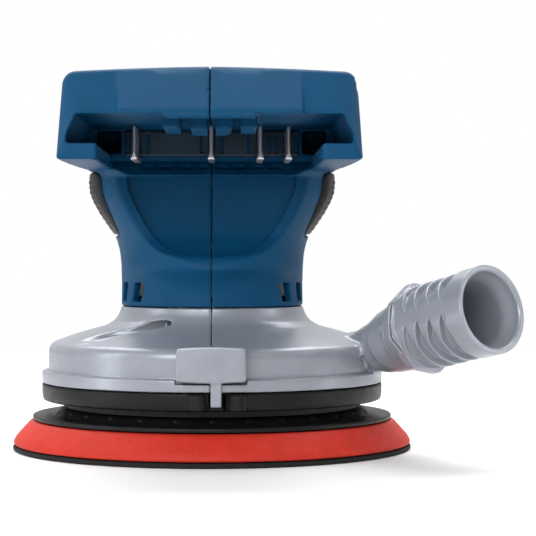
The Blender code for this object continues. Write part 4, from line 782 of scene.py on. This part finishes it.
def shroud(side):
    def field(x, y, z):
        ring = np.hypot(x, y)
        solid = shroud_outside(ring, z)
        if side > 0:
            u, v, along = from_mouth(x, y, z)
            tube = overlap(duct(x, y, z), along + OUTLET_LENGTH + 0.3, 0.5)
            solid = union(solid, duct_flange(x, y, z), 0.6)
            solid = union(solid, tube, 2.2)
        room = solid + SHROUD_WALL
        body = minus(solid, room, 0.5)
        web = box2(ring - 22.4, z - 34.4, 6.2, 1.35, 0.4)
        body = union(body, web, 0.8)
        if side > 0:
            pipe = np.hypot(u, v)
            start, end = -OUTLET_LENGTH - 3, -OUTLET_LENGTH + SPIGOT_LENGTH
            spigot = overlap(pipe - SPIGOT_RADIUS, between(along, start, end), 0.4)
            bore = overlap(pipe - SPIGOT_RADIUS + 1.5, np.abs(along - end) - SPIGOT_LENGTH - 3, 0.3)
            body = minus(union(body, spigot, 0.3), bore, 0.4)
        else:
            for screw_y in SHROUD_SCREWS:
                way = np.hypot(y - screw_y, z - SHROUD_SCREW_Z)
                body = union(body, overlap(way - 4.6, overlap(solid, x + 4.0, 0.4), 0.4), 0.4)
                body = minus(body, overlap(way - 3.2, x + 12.0, 0.5), 0.7)
        seat = box3(x, y, z, (CLIP_LOW[0] - 0.3, CLIP_LOW[1] - 5, CLIP_FOOT - 0.3),
                    (CLIP_HIGH[0] + 0.3, CLIP_HIGH[1] + 0.3, CLIP_HIGH[2] + 0.3), 0.3)
        body = minus(body, seat, 0.3)
        body = overlap(body, between(z, SHROUD_FOOT, SHROUD_TOP + 40), 0.4)
        flush = np.where(ring < WAIST + 4, z - SHROUD_TOP, -9.0)
        body = overlap(body, flush, 0.35)
        return overlap(body, SEAM - side * x, 0.4)
    return field


def rear_clip(x, y, z):
    middle_z = (CLIP_FOOT + CLIP_HIGH[2]) / 2
    bow = 0.55 * (x / CLIP_HIGH[0]) ** 2
    above = z - middle_z
    outline = box2(x, above + 0.8 * bow * np.sign(above), CLIP_HIGH[0] - 0.02 * above,
                   (CLIP_HIGH[2] - CLIP_FOOT) / 2 - 0.2, 1.1)
    clip = overlap(outline, between(y - bow * 0.6, CLIP_LOW[1], CLIP_HIGH[1]) + 0.1, 0.7)
    tongue = box3(x, y, z, (-0.1, CLIP_LOW[1] + 0.4, RING_LOW[2] + 1.6),
                  (3.0, -BAND_RADIUS - 0.3, CLIP_FOOT + 2), 0.4)
    return union(clip, tongue, 0.7)


def base_ring(x, y, z):
    ring = np.hypot(x, y)
    foot, top = RING_LOW[2], SHROUD_FOOT - 0.3
    middle, half = (foot + top) / 2, (top - foot) / 2
    body = box2(ring - (BAND_RADIUS + 40.0) / 2, z - middle, (BAND_RADIUS - 40.0) / 2, half, 0.3)
    body = overlap(body, (ring - BAND_RADIUS + foot - z + 0.3) * 0.7, 1.6)
    body = minus(body, box2(ring - 43.6, z - top, 3.2, 3.5, 0.6), 0.5)
    body = union(body, box2(ring - 47.6, z - top, 0.85, 3.0, 0.3), 0.4)
    for low_x, high_x in ((-6.7, -1.2), (4.7, 10.6)):
        centre, half_x = (low_x + high_x) / 2, (high_x - low_x) / 2
        lobe = np.hypot((x - centre) / half_x, (y + BAND_RADIUS - 0.8) / 2.1) - 1
        body = union(body, overlap(lobe * 1.6, np.abs(z - middle) - half + 0.3, 0.6), 0.4)
    for rib_x in (-0.8, 3.9, 4.5):
        rib = box3(x, y, z, (rib_x - 0.22, -BAND_RADIUS - 1.0, foot + 0.4),
                   (rib_x + 0.22, -BAND_RADIUS + 1, top), 0.15)
        body = union(body, rib, 0.25)
    slot = box3(x, y, z, (-0.5, -70, foot - 3), (3.5, -BAND_RADIUS + 0.5, top + 1), 0.2)
    return minus(body, slot, 0.3)


COLLAR_END = OUTLET_LENGTH - 3.6
FACE_TURN = math.radians(11.0)          # the plain strips of the outlet, up from level


def dust_outlet(u, v, along):
    """The hose adapter: a smooth mouth, a collar, and four grooves that end in points at two strips."""
    back = -along
    pipe = np.hypot(u, v)
    face = u * math.cos(FACE_TURN) - v * math.sin(FACE_TURN)
    rise = u * math.sin(FACE_TURN) + v * math.cos(FACE_TURN)
    turn = np.degrees(np.arctan2(np.abs(rise), np.abs(face)))
    outer = OUTLET_RADIUS - 0.3
    stem = outer - 1.5 * ramp(back, COLLAR_END - 0.6, COLLAR_END)
    body = overlap(pipe - stem, between(back, 0, OUTLET_LENGTH), 0.8)
    zigzag = 6.5 + 0.9 * np.abs(((turn / 13) % 2) - 1) * ramp(-turn, -40, -30)
    mouth = overlap(pipe - OUTLET_RADIUS + 0.02, between(back, 0, zigzag), 0.35)
    body = union(body, mouth, 0.12)
    body = overlap(body, np.where(back > zigzag - 0.1, np.abs(face) - outer + 0.35, -5.0), 0.15)
    facets = None
    for k in range(8):
        angle = math.radians(22.5 + 45 * k) + FACE_TURN
        facet = u * math.cos(angle) + v * math.sin(angle) - OUTLET_RADIUS + 0.15
        facets = facet if facets is None else overlap(facets, facet, 0.6)
    chevron = COLLAR_END - 3.4 + 1.2 * ramp(-turn, -40, 0)
    collar = overlap(overlap(facets, chevron - back, 0.4), back - COLLAR_END, 0.6)
    body = union(body, collar, 0.25)
    width = np.clip((turn - 8) / 34, 0, 1) ** 0.8
    for start, deep in ((6.9, 2.2), (11.9, 2.2), (16.9, 2.2), (21.9, 1.3)):
        centre = start + 2.05 - 0.7 * (1 - width)
        floor = outer - deep * np.minimum(1, 3 * width)
        groove = overlap(np.abs(back - centre) - 2.05 * width + 0.05, floor - pipe, 0.2)
        body = minus(body, groove, 0.25)
    line = overlap(np.abs(back - chevron - 1.1) * 0.9 - 0.3, OUTLET_RADIUS - 0.9 - pipe, 0.2)
    line = overlap(line, turn / 8 - 5.5, 0.3)
    body = minus(body, line, 0.3)
    bore = pipe - OUTLET_BORE + 1.5 * ramp(back, 0.5, 6.5) - 0.45 * np.clip(1 - back / 0.7, 0, 1)
    bore = union(bore, overlap(pipe - SPIGOT_RADIUS - 0.3, 22.6 - back, 0.3), 0.3)
    return minus(body, bore, 0.3)


def make_shroud():
    for name, side in (("left", -1), ("right", 1)):
        low, high = corners(f"shroud_{name}")
        shell(f"shroud_{name}_shell", shroud(side), low, high, 0.5, PAINT["grey_plastic"], "casing",
              [f"shroud_{name}"])
    shell("rear_clip_moulding", rear_clip, CLIP_LOW, CLIP_HIGH, 0.25, PAINT["grey_plastic"], "casing",
          ["rear_clip"])
    shell("base_ring_moulding", base_ring, RING_LOW, RING_HIGH, 0.45, PAINT["black_plastic"], "casing",
          ["base_ring"])
    reach = OUTLET_RADIUS + 1.2
    axes = np.array((OUTLET_ACROSS, OUTLET_RISE, OUTLET_AXIS))
    shell("dust_outlet_moulding", dust_outlet, (-reach, -reach, -OUTLET_LENGTH), (reach, reach, 0), 0.33,
          PAINT["grey_plastic"], "outlet", ["dust_outlet"], (OUTLET_MOUTH, axes))


# ---------------------------------------------------------------- the sanding pad
DUST_CIRCLE, DUST_HOLE = 32.5, 4.5
AIR_HOLES, AIR_CIRCLE, AIR_Z, AIR_HOLE = 28, 49.0, 12.4, 1.15
PAD_SCREW_OFFSET, PAD_SCREW_WAY = 13.5, 3.8
FOAM_RADIUS = FOAM_HIGH[0]


def dust_holes(x, y):
    turn = np.arctan2(y, x)
    step = 2 * math.pi / 8
    turn = (turn + step / 2) % step - step / 2
    ring = np.hypot(x, y)
    return np.hypot(ring * np.cos(turn) - DUST_CIRCLE, ring * np.sin(turn)) - DUST_HOLE


def pad_foam(x, y, z):
    y = y - PAD_CENTRE_Y
    ring = np.hypot(x, y)
    side = (ring - FOAM_RADIUS + (z - FOAM_LOW[2] - 1.2) * 0.905) / math.hypot(1, 0.905)
    body = overlap(side, ring - FOAM_RADIUS, 1.6)
    body = overlap(body, between(z, FOAM_LOW[2], FOAM_HIGH[2]), 1.0)
    return minus(body, dust_holes(x, y), 0.5)


def pad_hook(x, y, z):
    y = y - PAD_CENTRE_Y
    ring = np.hypot(x, y)
    body = overlap(ring - FOAM_RADIUS, between(z, HOOK_LOW[2], HOOK_HIGH[2]), 1.2)
    return minus(body, dust_holes(x, y), 0.3)


def pad_plate(x, y, z):
    y = y - PAD_CENTRE_Y
    ring = np.hypot(x, y)
    rim_top = PLATE_LOW[2] + 1.3
    rim = box2(ring, z - (PLATE_LOW[2] + rim_top) / 2, PLATE_HIGH[0], 0.65, 0.3)
    slope = ((ring - 49.9) * 2.1 + (z - rim_top) * 2.7) / math.hypot(2.1, 2.7)
    disc = overlap(overlap(slope, z - PLATE_HIGH[2], 0.6), PLATE_LOW[2] - z, 0.3)
    body = union(rim, disc, 0.6)
    step = 2 * math.pi / AIR_HOLES
    turn = (np.arctan2(y, x) + math.pi / 2 + step / 2) % step - step / 2
    along, aside = ring * np.cos(turn) - AIR_CIRCLE, ring * np.sin(turn)
    hole = np.sqrt(along ** 2 + aside ** 2 + (z - AIR_Z) ** 2) - AIR_HOLE
    body = minus(body, hole, 0.3)
    screws = None
    for k in range(4):
        angle = math.radians(45 + 90 * k)
        cx, cy = PAD_SCREW_OFFSET * math.cos(angle), PAD_SCREW_OFFSET * math.sin(angle)
        way = np.hypot(x - cx, y - cy) - PAD_SCREW_WAY
        screws = way if screws is None else np.minimum(screws, way)
    return minus(minus(body, dust_holes(x, y), 0.4), screws, 0.3)


def make_pad():
    shell("pad_foam_body", pad_foam, FOAM_LOW, FOAM_HIGH, 0.5, PAINT["red_foam"], "sanding_pad",
          ["pad_foam"])
    shell("pad_hook_sheet", pad_hook, HOOK_LOW, HOOK_HIGH, 0.45, PAINT["hook_fabric"], "sanding_pad",
          ["pad_hook_face"])
    shell("pad_plate_moulding", pad_plate, PLATE_LOW, PLATE_HIGH, 0.4, PAINT["black_plastic"],
          "sanding_pad", ["pad_backing_plate"])


# ---------------------------------------------------------------- contacts, screws and controls
def contact_blade(low, high):
    """A thin plate with a round front edge, a flared foot along its lower edge and a narrow tail."""
    middle = (low[0] + high[0]) / 2
    tail_from = PORT_BACK - 0.9

    def field(x, y, z):
        side = np.abs(x - middle)
        flare = 0.5 * (1 - ramp(z, low[2] + 0.5, low[2] + 2.6))
        centre_y, half_y = (low[1] + tail_from) / 2, (tail_from - low[1]) / 2
        centre_z, half_z = (low[2] + high[2]) / 2, (high[2] - low[2]) / 2
        outline = box2(y - centre_y, z - centre_z, half_y, half_z, 0.8)
        nick = np.hypot((y - low[1] - 3.0) * 0.6, z - high[2]) - 1.0
        plate = overlap(minus(outline, nick, 0.3), side - 0.48 - flare, 0.5)
        tail = box3(x, y, z, (middle - 0.45, tail_from - 2, BLOCK_LOW[2] + 2.1),
                    (middle + 0.45, high[1], BLOCK_HIGH[2] - 2.1), 0.2)
        return union(plate, tail, 0.2)
    return field


def terminal_block(x, y, z):
    """A carrier in a darker blue that paints the battery port's shade on it, with a slot round each blade's tail
    and a groove on both sides of each slot.
    """
    body = box3(x, y, z, BLOCK_LOW, BLOCK_HIGH, 0.7)
    middle_z = (BLOCK_LOW[2] + BLOCK_HIGH[2]) / 2
    for low, high in (corners(f"contact_blade_{n}") for n in (1, 2, 3, 4)):
        middle = (low[0] + high[0]) / 2
        way = overlap(np.abs(x - middle) - 0.85, np.abs(z - middle_z) - 2.4, 0.2)
        body = minus(body, way, 0.3)
        for shift in (-3.0, 3.0):
            groove = box3(x, y, z, (middle + shift - 0.4, BLOCK_LOW[1] - 2, BLOCK_LOW[2] + 1.2),
                          (middle + shift + 0.4, BLOCK_LOW[1] + 0.8, BLOCK_HIGH[2] - 1.2), 0.2)
            body = minus(body, groove, 0.25)
    return body


def cross_screw(low, high, side):
    """A casing screw along x with a domed head, a cross recess and a threaded shank."""
    head = high[0] if side > 0 else low[0]
    tip = low[0] if side > 0 else high[0]
    cy, cz = (low[1] + high[1]) / 2, (low[2] + high[2]) / 2
    radius = (high[2] - low[2]) / 2
    length = abs(head - tip)

    def field(x, y, z):
        depth = (head - x) * side
        ring = np.hypot(y - cy, z - cz)
        dome = depth - 0.07 * ring ** 2
        cap = overlap(overlap(ring - radius + 0.05, -dome, 0.5), depth - 2.0, 0.2)
        thread = 0.16 * np.cos(depth * 2 * math.pi / 1.3)
        shank = overlap(ring - radius + 1.3 - thread * ramp(depth, 5.0, 6.0), depth - length + 0.1, 0.8)
        body = union(cap, overlap(shank, 1.0 - depth, 0.1), 0.4)
        taper = np.clip(1 - depth / 2.4, 0, 1)
        cross = np.minimum(box2(y - cy, z - cz, 1.9 * taper, 0.42, 0.1),
                           box2(y - cy, z - cz, 0.42, 1.9 * taper, 0.1))
        return minus(body, overlap(cross, depth - 1.9, 0.2), 0.15)
    return field


ROCKER = next(j for j in frame["joints"] if j["name"] == "rocker_tilt")
ROCKER_PIVOT = np.array(ROCKER["pos_m"]) / MM
ROCKER_LEAN = math.radians(-5.0)


def switch_rocker(x, y, z):
    """The rocker in its own frame: hollow between its two ends, with fine ribs to press on."""
    front = 3.8 + 0.95 * (z / 4.4) ** 2
    ribbed = ramp(np.abs(z), 1.6, 2.2) * ramp(-np.abs(x), -6.6, -5.8)
    ribs = 0.14 * np.cos(z * 2 * math.pi / 1.1) * ribbed
    sides = overlap(np.abs(x) - 7.95, np.abs(z) - 4.35 + 0.03 * y, 0.9)
    foot = -1.0 + 1.4 * np.abs(z) / 4.4
    return overlap(overlap(sides, y - front + ribs, 0.9), foot - y, 0.3)


def speed_wheel(x, y, z):
    """A thumb wheel with a toothed rim, a ring sunk in each face and a hole for its pin."""
    cy, cz = (WHEEL_LOW[1] + WHEEL_HIGH[1]) / 2, (WHEEL_LOW[2] + WHEEL_HIGH[2]) / 2
    ring = np.hypot(x, y - cy)
    turn = np.arctan2(y - cy, x)
    teeth = 0.28 * np.cos(turn * 36)
    body = overlap(ring - WHEEL_HIGH[0] + 0.3 - teeth, np.abs(z - cz) - (WHEEL_HIGH[2] - cz), 0.7)
    sunk = overlap(np.abs(ring - 6.6) - 2.6, 1.6 - np.abs(z - cz), 0.4)
    return minus(minus(body, sunk, 0.4), ring - 2.1, 0.4)


def make_small_pieces():
    for n in (1, 2, 3, 4):
        low, high = corners(f"contact_blade_{n}")
        shell(f"contact_blade_{n}_plate", contact_blade(low, high), low, high, 0.25,
              PAINT["tinned_contact"], "casing", [f"contact_blade_{n}"])
    # The block's darker blue is painted shade from deep in the battery port.
    shell("terminal_block_moulding", terminal_block, BLOCK_LOW, BLOCK_HIGH, 0.3, PORT_SHADE_BLUE, "casing",
          ["terminal_block"])
    for name, side, count in (("housing_screw", 1, 3), ("shroud_screw", -1, 2)):
        for n in range(1, count + 1):
            low, high = corners(f"{name}_{n}")
            shell(f"{name}_{n}_turned", cross_screw(low, high, side), low, high, 0.22, PAINT["steel"],
                  "casing", [f"{name}_{n}"])
    c, s = math.cos(ROCKER_LEAN), math.sin(ROCKER_LEAN)
    axes = np.array(((1, 0, 0), (0, c, s), (0, -s, c)))
    shell("switch_rocker_moulding", switch_rocker, (-8, -1.3, -4.4), (8, 5, 4.4), 0.25,
          PAINT["black_plastic"], "rocker", ["switch_rocker"], (ROCKER_PIVOT, axes))
    shell("speed_wheel_moulding", speed_wheel, WHEEL_LOW, WHEEL_HIGH, 0.25, PAINT["black_plastic"],
          "wheel", ["speed_wheel"])


paint_cad_nodes()
add_camera()
add_floor()
add_light()
make_housing()
make_shroud()
make_pad()
make_small_pieces()
